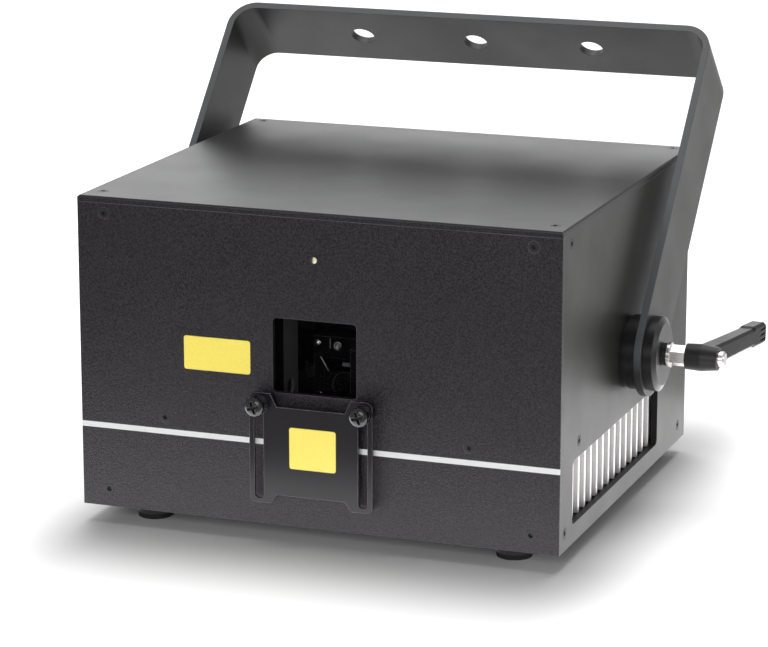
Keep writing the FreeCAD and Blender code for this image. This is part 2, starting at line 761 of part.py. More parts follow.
# Fans: three side by side behind the left vent, each with a bladed rotor on a short shaft
fan_names = ("front", "middle", "rear")
FIRST_FAN = f"({FRONT} + vent_front_inset + fan_row_inset + fan_width / 2)"
FAN_Z = "(foot_height + base_thickness + fan_width / 2)"
fan_frame_blank = block("fan_frame_blank", ("-fan_width / 2", "fan_width / 2"),
                        ("-fan_width / 2", "fan_width / 2"),
                        ("0", "fan_depth"))
fan_bore = rod("fan_bore", "fan_bore_radius", "fan_depth + 2 * cut_overrun", z="-cut_overrun")
fan_shell = cut("fan_shell", fan_frame_blank, fan_bore)
fan_stator = ring("fan_stator", "fan_shaft_radius + fit_gap", "fan_hub_radius", "0", "fan_back_wall")
fan_struts = [block("fan_strut", ("-fan_bore_radius - fit_gap", "-fan_hub_radius + fit_gap"),
                    ("-fan_strut_width / 2", "fan_strut_width / 2"), ("0", "fan_back_wall")),
              block("fan_strut", ("fan_hub_radius - fit_gap", "fan_bore_radius + fit_gap"),
                    ("-fan_strut_width / 2", "fan_strut_width / 2"), ("0", "fan_back_wall")),
              block("fan_strut", ("-fan_strut_width / 2", "fan_strut_width / 2"),
                    ("-fan_bore_radius - fit_gap", "-fan_hub_radius + fit_gap"), ("0", "fan_back_wall")),
              block("fan_strut", ("-fan_strut_width / 2", "fan_strut_width / 2"),
                    ("fan_hub_radius - fit_gap", "fan_bore_radius + fit_gap"), ("0", "fan_back_wall"))]
fan_frame = fuse("fan_frame_pattern", fan_shell, fan_stator, *fan_struts)
rotor_low = "(fan_back_wall + fan_running_gap)"
rotor_hub = turned("rotor_hub", [("0", "0"), ("fan_shaft_radius", "0"), ("fan_shaft_radius", rotor_low),
                                 ("fan_hub_radius", rotor_low),
                                 ("fan_hub_radius", f"{rotor_low} + fan_hub_depth"),
                                 ("0", f"{rotor_low} + fan_hub_depth")])


def fan_blades():
    """Flat pitched blades round the rotor hub, trimmed to the tip circle."""
    blade = Part.makeBox(val("fan_tip_radius"), val("fan_blade_thickness"), val("fan_blade_height"),
                         Vector(0, -val("fan_blade_thickness") / 2, -val("fan_blade_height") / 2))
    blade.rotate(Vector(), Vector(1, 0, 0), val("fan_blade_angle"))
    middle = val(f"{rotor_low} + fan_hub_depth / 2")
    blade.translate(Vector(0, 0, middle))
    ring_of_blades = []
    for index in range(BLADE_COUNT):
        copy = blade.copy()
        copy.rotate(Vector(), Vector(0, 0, 1), 360 * index / BLADE_COUNT)
        ring_of_blades.append(copy)
    wheel = ring_of_blades[0].multiFuse(ring_of_blades[1:])
    trim = Part.makeCylinder(val("fan_tip_radius"), val("fan_hub_depth"), Vector(0, 0, val(rotor_low)))
    blades = doc.addObject("Part::Feature", "fan_blades")
    blades.Shape = wheel.common(trim)
    return blades


rotor = fuse("fan_rotor_pattern", rotor_hub, fan_blades())
fan_places = [(FAN_INNER, f"{FIRST_FAN} + {index} * fan_pitch", FAN_Z, "-X")
              for index in range(len(fan_names))]
node("fan_frames", copies("fan_frames", fan_frame, fan_places))
for fan_name, place in zip(fan_names, fan_places):
    node(f"{fan_name}_fan_rotor", copies(f"{fan_name}_fan_rotor", rotor, [place]))


# Shutter: one flat sheet with two long slots, drawn in with shoulders at its top and bottom
half_wide = "(shutter_width / 2)"
leg_in = "(shutter_width / 2 - shutter_leg_width)"
throat = f"({leg_in} - shutter_shoulder)"
height_of = {name: f"(foot_height + shutter_{name}_height)"
             for name in ("low", "mid_low", "mid_high", "high")}
shutter = padded("shutter_blank", "XZ_Plane", "shutter_thickness", [
    (f"-{half_wide}", height_of["low"]), (f"-{leg_in}", height_of["low"]),
    (f"-{throat}", height_of["mid_low"]),
    (throat, height_of["mid_low"]), (leg_in, height_of["low"]), (half_wide, height_of["low"]),
    (half_wide, height_of["high"]), (leg_in, height_of["high"]), (throat, height_of["mid_high"]),
    (f"-{throat}", height_of["mid_high"]), (f"-{leg_in}", height_of["high"]),
    (f"-{half_wide}", height_of["high"])])
round_edges(shutter, "shutter_corner_radius", lambda edge: runs_along(edge, Vector(0, 1, 0))
            and abs(edge.CenterOfMass.x) > val("slot_offset"))
seat(shutter, y=f"{FRONT} - shutter_gap")
slot_low = "(foot_height + slot_low_height + slot_width / 2)"
slot_high = "(foot_height + shutter_screw_height)"
slots = []
for side in PAIR:
    middle = f"{side} * slot_offset"
    face = f"{FRONT} - shutter_gap - shutter_thickness - cut_overrun"
    through = "shutter_thickness + 2 * cut_overrun"
    slots.append(block("slot_run", (f"{middle} - slot_width / 2", f"{middle} + slot_width / 2"),
                       (face, f"{face} + {through}"), (slot_low, slot_high)))
    slots += [rod("slot_end", "slot_width / 2", through, middle, face, z, "+Y")
              for z in (slot_low, slot_high)]
node("aperture_shutter", cut("aperture_shutter", shutter, fuse("slots", *slots)))

PLATE_FACE = "(shutter_gap + shutter_thickness)"
WASHER_FACE = f"({PLATE_FACE} + shutter_washer)"
SLEEVE_FACE = f"({WASHER_FACE} + shutter_sleeve)"
pan_screw = turned("pan_screw", [
    ("0", "-panel_thickness"), ("shutter_shank_radius", "-panel_thickness"),
    ("shutter_shank_radius", SLEEVE_FACE),
    ("pan_head_radius", SLEEVE_FACE), ("pan_head_radius", f"{SLEEVE_FACE} + pan_head_rim"),
    ("pan_head_top_radius", f"{SLEEVE_FACE} + pan_head_height"), ("0", f"{SLEEVE_FACE} + pan_head_height")])
node("shutter_screws", copies("shutter_screws", pan_screw, shutter_spots))
bore = "shutter_shank_radius + fit_gap"
stack = bundle("shutter_stack",
               ring("shutter_spacer", bore, "shutter_shank_radius + spacer_wall", "0", "shutter_gap"),
               ring("shutter_washer_ring", bore, "shutter_washer_radius", PLATE_FACE, WASHER_FACE),
               ring("shutter_sleeve_ring", bore, "shutter_sleeve_radius", WASHER_FACE, SLEEVE_FACE))
node("shutter_spacers", copies("shutter_spacers", stack, shutter_spots))


# Mounting bracket: flat bar bent to a U, drawn upright about its pivot and then leaned back
arm_inner = f"({SIDE} + spacer_length)"
arm_outer = f"({SIDE} + spacer_length + bracket_thickness)"
bar_under = "(bracket_reach - bracket_thickness)"
arm_end = "bracket_width / 2"
strip = padded("bracket_strip", "XZ_Plane", "bracket_width", [
    (f"-{arm_outer}", f"-{arm_end}"), (f"-{arm_inner}", f"-{arm_end}"), (f"-{arm_inner}", bar_under),
    (arm_inner, bar_under), (arm_inner, f"-{arm_end}"), (arm_outer, f"-{arm_end}"),
    (arm_outer, "bracket_reach"), (f"-{arm_outer}", "bracket_reach")], midplane=True)
round_edges(strip, "bend_radius", lambda edge: runs_along(edge, Vector(0, 1, 0))
            and abs(edge.CenterOfMass.z - val(bar_under)) < val("fit_gap"))
round_edges(strip, "bend_radius + bracket_thickness", lambda edge: runs_along(edge, Vector(0, 1, 0))
            and abs(edge.CenterOfMass.z - val("bracket_reach")) < val("fit_gap"))
across = (f"-{arm_outer} - cut_overrun", f"{arm_outer} + cut_overrun")
envelope = fuse("bracket_envelope",
                block("arm_run", across, ("-bracket_width / 2", "bracket_width / 2"), ("0", "bracket_reach")),
                rod("arm_end", "bracket_width / 2", f"2 * ({arm_outer} + cut_overrun)", x=across[0],
                    toward="+X"))
bracket_holes = [rod("bracket_pivot", "stud_radius + stud_gap", f"2 * ({arm_outer} + cut_overrun)",
                     x=across[0], toward="+X")]
bracket_holes += [rod("mounting_hole", "mounting_hole_radius", "bracket_thickness + 2 * cut_overrun",
                      x=f"{step} * mounting_hole_pitch", z=f"{bar_under} - cut_overrun")
                      for step in (-1, 0, 1)]
bracket = cut("mounting_bracket", common("bracket_form", strip, envelope), *bracket_holes)
bracket.Placement = Placement(Vector(0, val(PIVOT_Y), val(PIVOT_Z)),
                              Rotation(Vector(-1, 0, 0), val("bracket_tilt")))
for path, text in (("Base.y", PIVOT_Y), ("Base.z", PIVOT_Z), ("Rotation.Angle", "bracket_tilt")):
    bracket.setExpression(f"Placement.{path}", named(text))
node("mounting_bracket", bracket)


# Pivot stack on each side, drawn with its own Z pointing out of the side panel
sides = {"left": (f"-{SIDE}", PIVOT_Y, PIVOT_Z, "-X"), "right": (SIDE, PIVOT_Y, PIVOT_Z, "+X")}
both_sides = list(sides.values())
stud_bore = "(stud_radius + stud_gap)"
ARM_FACE = "(spacer_length + bracket_thickness)"
DISC_FACE = f"({ARM_FACE} + disc_thickness)"
BOSS_FACE = f"({DISC_FACE} + disc_boss_length)"
WASHER_TOP = f"({BOSS_FACE} + steel_washer_thickness)"
HUB_LOW = f"({WASHER_TOP} + hex_length)"
spacer = turned("spacer_pattern", [
    (stud_bore, "0"), ("spacer_foot_radius", "0"), ("spacer_foot_radius", "spacer_foot_length"),
    ("spacer_radius", "spacer_foot_length"), ("spacer_radius", "spacer_length"),
    (stud_bore, "spacer_length")])
disc = turned("disc_pattern", [
    (stud_bore, ARM_FACE), ("disc_radius", ARM_FACE), ("disc_radius", f"{DISC_FACE} - disc_bevel_depth"),
    ("disc_radius - disc_bevel_width", DISC_FACE), ("disc_boss_radius", DISC_FACE),
    ("disc_boss_radius", BOSS_FACE),
    (stud_bore, BOSS_FACE)])
node("pivot_spacers", copies("pivot_spacers", spacer, both_sides))
node("pivot_discs", copies("pivot_discs", disc, both_sides))
node("pivot_washers", copies("pivot_washers",
                             ring("pivot_washer", stud_bore, "steel_washer_radius", BOSS_FACE, WASHER_TOP),
                             both_sides))
stud = rod("stud_pattern", "stud_radius", f"panel_thickness + backing_thickness + {WASHER_TOP} + stud_grip",
           z="-panel_thickness - backing_thickness")
node("pivot_studs", copies("pivot_studs", stud, both_sides))
backing = cut("backing_pattern",
              block("backing_blank", ("-backing_width / 2", "backing_width / 2"),
                    ("-backing_width / 2", "backing_width / 2"),
                    ("-panel_thickness - backing_thickness", "-panel_thickness")),
              rod("backing_bore", "stud_radius + fit_gap", "backing_thickness + 2 * cut_overrun",
                  z="-panel_thickness - backing_thickness - cut_overrun"))
node("pivot_backing_plates", copies("pivot_backing_plates", backing, both_sides))


# Clamping lever: hex insert on the stud, plastic handle over its spigot, and the screw that holds them
HEAD_LOW = f"({HUB_LOW} + hub_length - lever_head_bevel)"
spigot_top = f"({HUB_LOW} + spigot_length)"
hex_bar = doc.addObject("Part::Prism", "hex_bar")
hex_bar.Polygon = 6
bind(hex_bar, Circumradius="hex_flats / sqrt(3)", Height="hex_length")
seat(hex_bar, z=WASHER_TOP)
insert = cut("insert_pattern", fuse("insert_blank", hex_bar,
                                    rod("spigot", "spigot_radius", "spigot_length", z=HUB_LOW)),
             rod("insert_bore", "stud_radius + fit_gap", "stud_grip + cut_overrun",
                 z=f"{WASHER_TOP} - cut_overrun"),
             rod("insert_tap", "lever_screw_radius + fit_gap", "lever_screw_depth + cut_overrun",
                 z=f"{spigot_top} - lever_screw_depth + fit_gap"))
insert_screw = turned("insert_screw", [
    ("0", f"{spigot_top} - lever_screw_depth + fit_gap"),
    ("lever_screw_radius", f"{spigot_top} - lever_screw_depth + fit_gap"),
    ("lever_screw_radius", HEAD_LOW), ("lever_head_radius", HEAD_LOW),
    ("lever_head_radius", f"{HEAD_LOW} + lever_head_length - lever_head_bevel"),
    ("lever_head_radius - lever_head_bevel", f"{HEAD_LOW} + lever_head_length"),
    ("0", f"{HEAD_LOW} + lever_head_length")])
hub_top = f"({HUB_LOW} + hub_length)"
hub = turned("lever_hub", [("0", HUB_LOW), ("hub_end_radius", HUB_LOW),
                           ("hub_mid_radius", f"{HUB_LOW} + hub_length / 2"),
                           ("hub_outer_radius", hub_top), ("0", hub_top)])


def arm_section(run, half, trim="0"):
    """The bevelled outline across the arm at one distance from the hub."""
    low = f"({HUB_LOW} + arm_root_low + (arm_tip_low - arm_root_low) * {run} / arm_length + {trim})"
    high = f"({HUB_LOW} + arm_root_high + (arm_tip_high - arm_root_high) * {run} / arm_length - {trim})"
    inner = f"({half} - arm_bevel)"
    return f"-{run}", [(f"-{inner}", low), (inner, low), (half, f"{low} + arm_bevel"),
                       (half, f"{high} - arm_bevel"),
                       (inner, high), (f"-{inner}", high), (f"-{half}", f"{high} - arm_bevel"),
                       (f"-{half}", f"{low} + arm_bevel")]


arm = lofted("lever_arm", "XZ_Plane", [
    arm_section("0", "arm_root_half"), arm_section("arm_waist_run", "arm_waist_half"),
    arm_section("arm_step_run", "arm_step_half"), arm_section("arm_grip_run", "arm_grip_half"),
    arm_section("arm_nose_run", "arm_grip_half"), arm_section("arm_length", "arm_tip_half", "arm_tip_trim")])
groove_rows = [f"{index - (GROOVE_COUNT - 1) / 2} * grip_groove_pitch" for index in range(GROOVE_COUNT)]
grooves = [block("grip_groove", (f"{row} - grip_groove_width / 2", f"{row} + grip_groove_width / 2"),
                 ("arm_length - grip_groove_length - grip_groove_end", "arm_length - grip_groove_end"),
                 (f"{HUB_LOW} + arm_tip_high - arm_tip_trim - grip_groove_depth",
                  f"{HUB_LOW} + arm_tip_high + cut_overrun")) for row in groove_rows]
handle = cut("handle_pattern", fuse("handle_blank", hub, arm),
             rod("handle_socket", "spigot_radius + lever_gap", "hub_web_low + cut_overrun",
                 z=f"{HUB_LOW} - cut_overrun"),
             rod("handle_hole", "lever_screw_radius + lever_gap", "hub_length", z=HUB_LOW),
             rod("handle_pocket", "lever_head_radius + lever_gap", "hub_pocket_depth + hub_length",
                 z=f"{hub_top} - hub_pocket_depth"), *grooves)
for side, place in sides.items():
    node(f"{side}_lever_insert", copies(f"{side}_lever_insert", insert, [place]))
    node(f"{side}_lever_screw", copies(f"{side}_lever_screw", insert_screw, [place]))
    node(f"{side}_clamp_lever", copies(f"{side}_clamp_lever", handle, [place]))


# Scanner: two motors in one block; the first mirror sends the beam up and the second sends it out
SCAN_X = "scan_offset"
SCAN_Y = f"({FRONT} + scan_depth)"
SCAN_Z = "(foot_height + scan_height)"
BEAM_Z = f"({SCAN_Z} - scan_apart)"
BEAM_RISE = f"({BEAM_Z} - {DECK})"
STEM = "(scan_mirror_length / 2 + scan_stem_length)"
block_left = f"({SCAN_X} - scan_block_reach)"
block_cheek = f"({SCAN_X} + {STEM})"
block_front = f"({SCAN_Y} + {STEM})"
block_high = f"({SCAN_Z} + scan_motor_radius + scan_block_margin)"
scan_wall = block("scan_wall", (block_left, f"{block_cheek} + scan_block_depth"),
                  (block_front, f"{block_front} + scan_block_depth"), (DECK, block_high))
scan_cheek = block("scan_cheek", (block_cheek, f"{block_cheek} + scan_block_depth"),
                   (f"{SCAN_Y} - scan_motor_radius - scan_block_margin", block_front), (DECK, block_high))
motor_bore = ("scan_motor_radius + fit_gap", "scan_block_depth + 2 * cut_overrun")
node("galvo_block", cut("galvo_block", fuse("galvo_blank", scan_wall, scan_cheek),
                        rod("x_bore", *motor_bore, SCAN_X, f"{block_front} - cut_overrun", BEAM_Z, "+Y"),
                        rod("y_bore", *motor_bore, f"{block_cheek} - cut_overrun", SCAN_Y, SCAN_Z, "+X")))
shaft_bore = "scan_shaft_radius + scan_running_gap"
shaft_end = f"{STEM} + scan_shaft_length"
motor = turned("motor_pattern", [
    (shaft_bore, STEM), ("scan_motor_radius", STEM), ("scan_motor_radius", f"{STEM} + scan_motor_length"),
    ("0", f"{STEM} + scan_motor_length"), ("0", f"{shaft_end} + fit_gap"),
    (shaft_bore, f"{shaft_end} + fit_gap")])
scan_places = {"x": (SCAN_X, SCAN_Y, BEAM_Z, "+Y"), "y": (SCAN_X, SCAN_Y, SCAN_Z, "+X")}
node("galvo_motors", copies("galvo_motors", motor, scan_places.values()))
stem_end = f"{STEM} - scan_running_gap"
mirror_stem = turned("mirror_stem", [
    ("0", "scan_stem_start"), ("scan_stem_radius", "scan_stem_start"), ("scan_stem_radius", stem_end),
    ("scan_shaft_radius", stem_end), ("scan_shaft_radius", shaft_end), ("0", shaft_end)])
for axis, lean_way in (("x", -1), ("y", 1)):
    pane = block(f"{axis}_pane", (f"-{axis}_mirror_width / 2", f"{axis}_mirror_width / 2"),
                 ("-scan_mirror_thickness / 2", "scan_mirror_thickness / 2"),
                 ("-scan_mirror_length / 2", "scan_mirror_length / 2"))
    leaning = fuse(f"{axis}_mirror_form", mirror_stem, pane)
    leaning.Placement = Placement(Vector(), Rotation(Vector(0, 0, lean_way), val("mirror_lean")))
    leaning.setExpression("Placement.Rotation.Angle", named("mirror_lean"))
    node(f"{axis}_scan_mirror", copies(f"{axis}_scan_mirror", leaning, [scan_places[axis]]))

SHROUD_X = "(-window_width / 2 - shroud_side_gap)"
shroud_wall = block("shroud_wall", (f"{SHROUD_X} - shroud_thickness", SHROUD_X),
                    (f"{INNER_FRONT} + glass_thickness", f"{INNER_FRONT} + glass_thickness + shroud_depth"),
                    (DECK, f"{DECK} + shroud_rise"))
shroud_foot = block("shroud_foot", (f"{SHROUD_X} - shroud_thickness - shroud_flange", SHROUD_X),
                    (f"{INNER_FRONT} + glass_thickness", f"{INNER_FRONT} + glass_thickness + shroud_depth"),
                    (DECK, f"{DECK} + shroud_thickness"))
beam_port = rod("beam_port", "beam_port_radius", "shroud_thickness + 2 * cut_overrun",
                f"{SHROUD_X} - shroud_thickness - cut_overrun", SCAN_Y, BEAM_Z, "+X")
node("scanner_shroud", cut("scanner_shroud", fuse("shroud_blank", shroud_wall, shroud_foot), beam_port))


# Lasers along the left wall, and the mirrors that fold their beams into one
LASER_LEFT = f"(-{INNER_SIDE} + laser_side_gap)"
lasers = []
laser_rows = [f"({FRONT} + first_laser_inset + {index} * laser_pitch)" for index in range(LASER_COUNT)]
for index, row in enumerate(laser_rows):
    box = block("laser_box", (LASER_LEFT, f"{LASER_LEFT} + laser_length"),
                (f"{row} - laser_width / 2", f"{row} + laser_width / 2"),
                (DECK, f"{DECK} + laser_tall"))
    toe = block("laser_toe", (f"{LASER_LEFT} + laser_flange_length",
                              f"{LASER_LEFT} + laser_length - laser_flange_length"),
                (f"{row} - laser_width / 2 - laser_flange_thickness",
                 f"{row} + laser_width / 2 + laser_flange_thickness"),
                (DECK, f"{DECK} + laser_flange_thickness"))
    barrel = rod("laser_barrel", "laser_barrel_radius", "laser_barrel_length", f"{LASER_LEFT} + laser_length",
                 row, BEAM_Z, "+X")
    lasers.append(fuse(f"laser_{index}", box, toe, barrel))
node("laser_modules", bundle("laser_modules", *lasers))


def folding_mirror(name, x, y, turn):
    """A mirror pane standing on the front of its low mount, turned about the upright."""
    low = f"({BEAM_RISE} - mirror_side / 2)"
    mount = block(f"{name}_mount", ("-mirror_mount_width / 2", "mirror_mount_width / 2"),
                  ("0", "mirror_mount_thickness"), ("0", f"{low} + mirror_grip"))
    pane = block(f"{name}_pane", ("-mirror_side / 2", "mirror_side / 2"), ("-mirror_thickness", "0"),
                 (low, f"{low} + mirror_side"))
    doc.recompute()
    spot = Placement(Vector(val(x), val(y), val(DECK)), Rotation(Vector(0, 0, 1), val(turn)))
    shapes = []
    for piece in (mount, pane):
        shape = piece.Shape.copy()
        shape.Placement = spot.multiply(shape.Placement)
        shapes.append(shape)
    return shapes


COMBINE_X = "(-combiner_offset)"
fold_spots = [(SCAN_Y, "fold_angle")] + [(row, "combiner_angle") for row in laser_rows]
mounts, panes = zip(*[folding_mirror(f"combiner_{index}", COMBINE_X, row, turn)
                      for index, (row, turn) in enumerate(fold_spots)])
for label, shapes in (("mirror_mounts", mounts), ("combining_mirrors", panes)):
    holder = doc.addObject("Part::Feature", label)
    holder.Shape = Part.makeCompound(shapes)
    node(label, holder)


# Boards on standoffs, and the power supply behind the optics plate
def board(name, x, y, low, chips):
    """A board lying on four standoffs, with plain blocks for its tall parts."""
    top = f"({low} + board_standoff + board_thickness)"
    pieces = [block(f"{name}_sheet", x, y, (f"{low} + board_standoff", top))]
    for spot_x in (f"{x[0]} + standoff_inset", f"{x[1]} - standoff_inset"):
        for spot_y in (f"{y[0]} + standoff_inset", f"{y[1]} - standoff_inset"):
            pieces.append(rod(f"{name}_standoff", "standoff_radius", "board_standoff", spot_x, spot_y, low))
    for share in chips:
        middle = f"({x[0]} + ({x[1]} - ({x[0]})) * {share})"
        pieces.append(block(f"{name}_chip", (f"{middle} - chip_height", f"{middle} + chip_height"),
                            (f"{y[0]} + 2 * standoff_inset", f"{y[1]} - 2 * standoff_inset"),
                            (top, f"{top} + chip_height")))
    return pieces


BOARD_RIGHT = f"({INNER_SIDE} - driver_side_gap)"
chip_shares = (0.28, 0.72)
drivers = []
for index in range(2):
    near = f"({FRONT} + driver_board_inset + {index} * driver_board_pitch)"
    drivers += board(f"driver_{index}", (f"{BOARD_RIGHT} - driver_board_width", BOARD_RIGHT),
                     (near, f"{near} + driver_board_depth"), DECK, chip_shares)
node("driver_boards", bundle("driver_boards", *drivers))
supply_left = f"(-{INNER_SIDE} + post_width + supply_side_gap)"
supply_right = f"({supply_left} + supply_width)"
supply_front = f"({PLATE_REAR} + supply_gap)"
supply_rear = f"({supply_front} + supply_depth)"
supply = padded("supply_blank", "XY_Plane", "supply_height", [
    (supply_left, supply_front), (supply_right, supply_front), (supply_right, supply_rear),
    (supply_left, supply_rear)])
round_edges(supply, "supply_chamfer", lambda edge: runs_along(edge, Vector(0, 0, 1)))
node("power_supply", seat(supply, z=FLOOR))


# Rear panel fittings, drawn with their own Z pointing out of the panel
UPPER = "(foot_height + upper_row_height)"
LOWER = "(foot_height + lower_row_height)"
MAINS = "(foot_height + mains_height)"
BEHIND = "(-panel_thickness)"
# Each row starts from the corner posts, so the fittings keep clear of them and of each other
ROW_HALF = f"({INNER_SIDE} - post_width)"
MAINS_X = f"({ROW_HALF} - mains_inset)"
ROCKER_X = f"({MAINS_X} - rocker_pitch)"
INTERLOCK_X = f"({ROW_HALF} - interlock_inset)"
KEY_X = f"({INTERLOCK_X} - key_pitch)"
DATA_X = f"(data_inset - {ROW_HALF})"
DISPLAY_LEFT = f"(display_inset - {ROW_HALF})"
DISPLAY_RIGHT = f"({DISPLAY_LEFT} + display_width)"
EYE_X = f"(eye_inset - {ROW_HALF})"


def around(half_wide, half_high):
    return ((f"-{half_wide}", half_wide), (f"-{half_high}", half_high))


inlet_blank = fuse("inlet_blank",
                   block("inlet_flange", *around("inlet_flange_width / 2", "inlet_flange_height / 2"),
                         ("0", "inlet_flange_thickness")),
                   block("inlet_body", *around("inlet_body_width / 2", "inlet_body_height / 2"),
                         ("-inlet_body_depth", "0")))
recess_floor = "(inlet_flange_thickness - inlet_recess_depth)"
recess_wide = "inlet_recess_width / 2"
recess_high = "inlet_recess_height / 2"
inlet_recess = seat(padded("inlet_recess", "XY_Plane", "inlet_recess_depth + cut_overrun", [
    (f"-{recess_wide}", f"-{recess_high}"), (recess_wide, f"-{recess_high}"),
    (recess_wide, f"{recess_high} - inlet_recess_bevel"),
    (f"{recess_wide} - inlet_recess_bevel", recess_high),
    (f"-{recess_wide} + inlet_recess_bevel", recess_high),
    (f"-{recess_wide}", f"{recess_high} - inlet_recess_bevel")]), z=recess_floor)
pin_rows = [("0", "inlet_pin_drop"), ("-inlet_pin_spread", "-inlet_pin_drop"),
            ("inlet_pin_spread", "-inlet_pin_drop")]
inlet_pins = [block("inlet_pin", (f"{x} - inlet_pin_width / 2", f"{x} + inlet_pin_width / 2"),
                    (f"{y} - inlet_pin_height / 2", f"{y} + inlet_pin_height / 2"),
                    (f"{recess_floor} - fit_gap", f"{recess_floor} + inlet_pin_length")) for x, y in pin_rows]
inlet = fuse("inlet_pattern", cut("inlet_shell", inlet_blank, inlet_recess), *inlet_pins)
inlet_place = (MAINS_X, REAR, MAINS, "+Y")
node("mains_inlet", copies("mains_inlet", inlet, [inlet_place]))
cavity_wide = "(rocker_frame_width / 2 - rocker_wall)"
cavity_high = "(rocker_frame_height / 2 - rocker_wall)"
rocker_shell = fuse("rocker_shell",
                    block("rocker_flange", *around("rocker_frame_width / 2", "rocker_frame_height / 2"),
                          ("0", "rocker_frame_thickness")),
                    block("rocker_case",
                          *around("(rocker_frame_width / 2 - rocker_lip)",
                                  "(rocker_frame_height / 2 - rocker_lip)"),
                          ("-rocker_body_depth", "0")))
rocker_frame = cut("rocker_frame_pattern", rocker_shell,
                   block("rocker_cavity", *around(cavity_wide, cavity_high),
                         ("rocker_floor_gap - rocker_body_depth", "rocker_frame_thickness + cut_overrun")),
                   rod("rocker_pin_bore", "rocker_pin_radius + rocker_pin_gap",
                       "rocker_frame_width - rocker_wall",
                       x="-(rocker_frame_width - rocker_wall) / 2", toward="+X"))
wing = f"({cavity_high} - rocker_gap)"
rocker_bar = padded("rocker_bar", "YZ_Plane", f"2 * ({cavity_wide} - rocker_gap)", [
    (f"-{wing}", "rocker_crest + rocker_wing_rise"), (f"-{wing}", "0"),
    ("-rocker_root_half", "-rocker_root_depth"),
    ("rocker_root_half", "-rocker_root_depth"), (wing, "0"), (wing, "rocker_crest + rocker_wing_rise"),
    ("0", "rocker_crest")], midplane=True)
rocker_pin = rod("rocker_pin", "rocker_pin_radius", f"2 * {cavity_wide} + rocker_wall - 2 * rocker_pin_gap",
                 x=f"-{cavity_wide} - rocker_wall / 2 + rocker_pin_gap", toward="+X")
rocker = fuse("rocker_form", rocker_bar, rocker_pin)
rocker.Placement = Placement(Vector(), Rotation(Vector(1, 0, 0), val("rocker_rest_angle")))
rocker.setExpression("Placement.Rotation.Angle", named("rocker_rest_angle"))
doc.recompute()
rocker_place = (ROCKER_X, REAR, MAINS, "+Y")
node("rocker_frame", copies("rocker_frame", rocker_frame, [rocker_place]))
node("power_rocker", copies("power_rocker", rocker, [rocker_place]))

key_floor = "(lock_rim_length - key_bore_depth)"
lock = turned("lock_pattern", [
    ("0", "-lock_body_length"), ("lock_body_radius", "-lock_body_length"), ("lock_body_radius", "0"),
    ("lock_rim_radius", "0"),
    ("lock_rim_radius", "lock_rim_length"), ("key_shaft_radius + key_running_gap", "lock_rim_length"),
    ("key_shaft_radius + key_running_gap", key_floor), ("0", key_floor)])
neck_top = "(lock_rim_length + key_neck_length)"
bow_middle = f"({neck_top} + key_bow_radius - key_bow_thickness)"
key = cut("key_pattern",
          fuse("key_blank", rod("key_shaft", "key_shaft_radius", f"{neck_top} - {key_floor}", z=key_floor),
               rod("key_bow", "key_bow_radius", "key_bow_thickness", x="-key_bow_thickness / 2", z=bow_middle,
                   toward="+X")),
          rod("key_ring_hole", "key_ring_radius", "key_bow_thickness + 2 * cut_overrun",
              x="-key_bow_thickness / 2 - cut_overrun", z=f"{bow_middle} + key_bow_radius / 2", toward="+X"))
key_place = (KEY_X, REAR, UPPER, "+Y")
node("key_lock", copies("key_lock", lock, [key_place]))
node("switch_key", copies("switch_key", key, [key_place]))

stem_bore = "(interlock_stem_radius + fit_gap)"
stem_floor = "(interlock_rim_length - interlock_stem_length)"
interlock = turned("interlock_pattern", [
    ("0", "-interlock_body_length"), ("interlock_body_radius", "-interlock_body_length"),
    ("interlock_body_radius", "0"),
    ("interlock_rim_radius", "0"), ("interlock_rim_radius", "interlock_rim_length"),
    (stem_bore, "interlock_rim_length"),
    (stem_bore, stem_floor), ("0", stem_floor)])
plug = turned("plug_pattern", [
    ("0", stem_floor), ("interlock_stem_radius", stem_floor),
    ("interlock_stem_radius", "interlock_rim_length"),
    ("interlock_plug_radius", "interlock_rim_length"),
    ("interlock_plug_radius", "interlock_rim_length + interlock_plug_length"),
    ("0", "interlock_rim_length + interlock_plug_length")])
interlock_place = (INTERLOCK_X, REAR, UPPER, "+Y")
node("interlock_socket", copies("interlock_socket", interlock, [interlock_place]))
node("interlock_plug", copies("interlock_plug", plug, [interlock_place]))



def data_form(name, length, inset):
    """A tapered plug outline with rounded corners, drawn in by an inset all round."""
    low = f"(data_shell_width / 2 - data_shell_taper - {inset})"
    wide = f"(data_shell_width / 2 - {inset})"
    high = f"(data_shell_height / 2 - {inset})"
    form = padded(name, "XY_Plane", length,
                  [(f"-{low}", f"-{high}"), (low, f"-{high}"), (wide, high), (f"-{wide}", high)])
    return round_edges(form, f"data_shell_taper - {inset}",
                       lambda edge: runs_along(edge, Vector(0, 0, 1)))


data_face = "(data_flange_thickness + data_shell_length)"
data_floor = f"({data_face} - data_cavity_depth)"
data_blank = fuse("data_blank", data_form("data_shell", data_face, "0"),
                  block("data_flange", *around("data_flange_width / 2", "data_flange_height / 2"),
                        ("0", "data_flange_thickness")),
                  block("data_body", *around("data_shell_width / 2", "data_shell_height / 2"),
                        ("-panel_thickness - data_body_depth", "0")),
                  *[rod("data_post", "data_post_radius", "data_flange_thickness + data_post_length",
                        x=f"{side} * data_post_spread") for side in PAIR])
data_cavity = data_form("data_cavity", "data_cavity_depth + cut_overrun", "data_shell_wall")
seat(data_cavity, z=data_floor)
data_cup = cut("data_cup", data_blank, data_cavity)
data_insert = data_form("data_insert", "data_insert_height + fit_gap", "data_insert_inset")
seat(data_insert, z=f"{data_floor} - fit_gap")
data_female = fuse("data_female", data_cup, data_insert)
pin_row = [(f"{step} * data_pin_pitch", "data_row_gap / 2") for step in range(-6, 7)]
pin_row += [(f"({step} + 1 / 2) * data_pin_pitch", "-data_row_gap / 2") for step in range(-6, 6)]
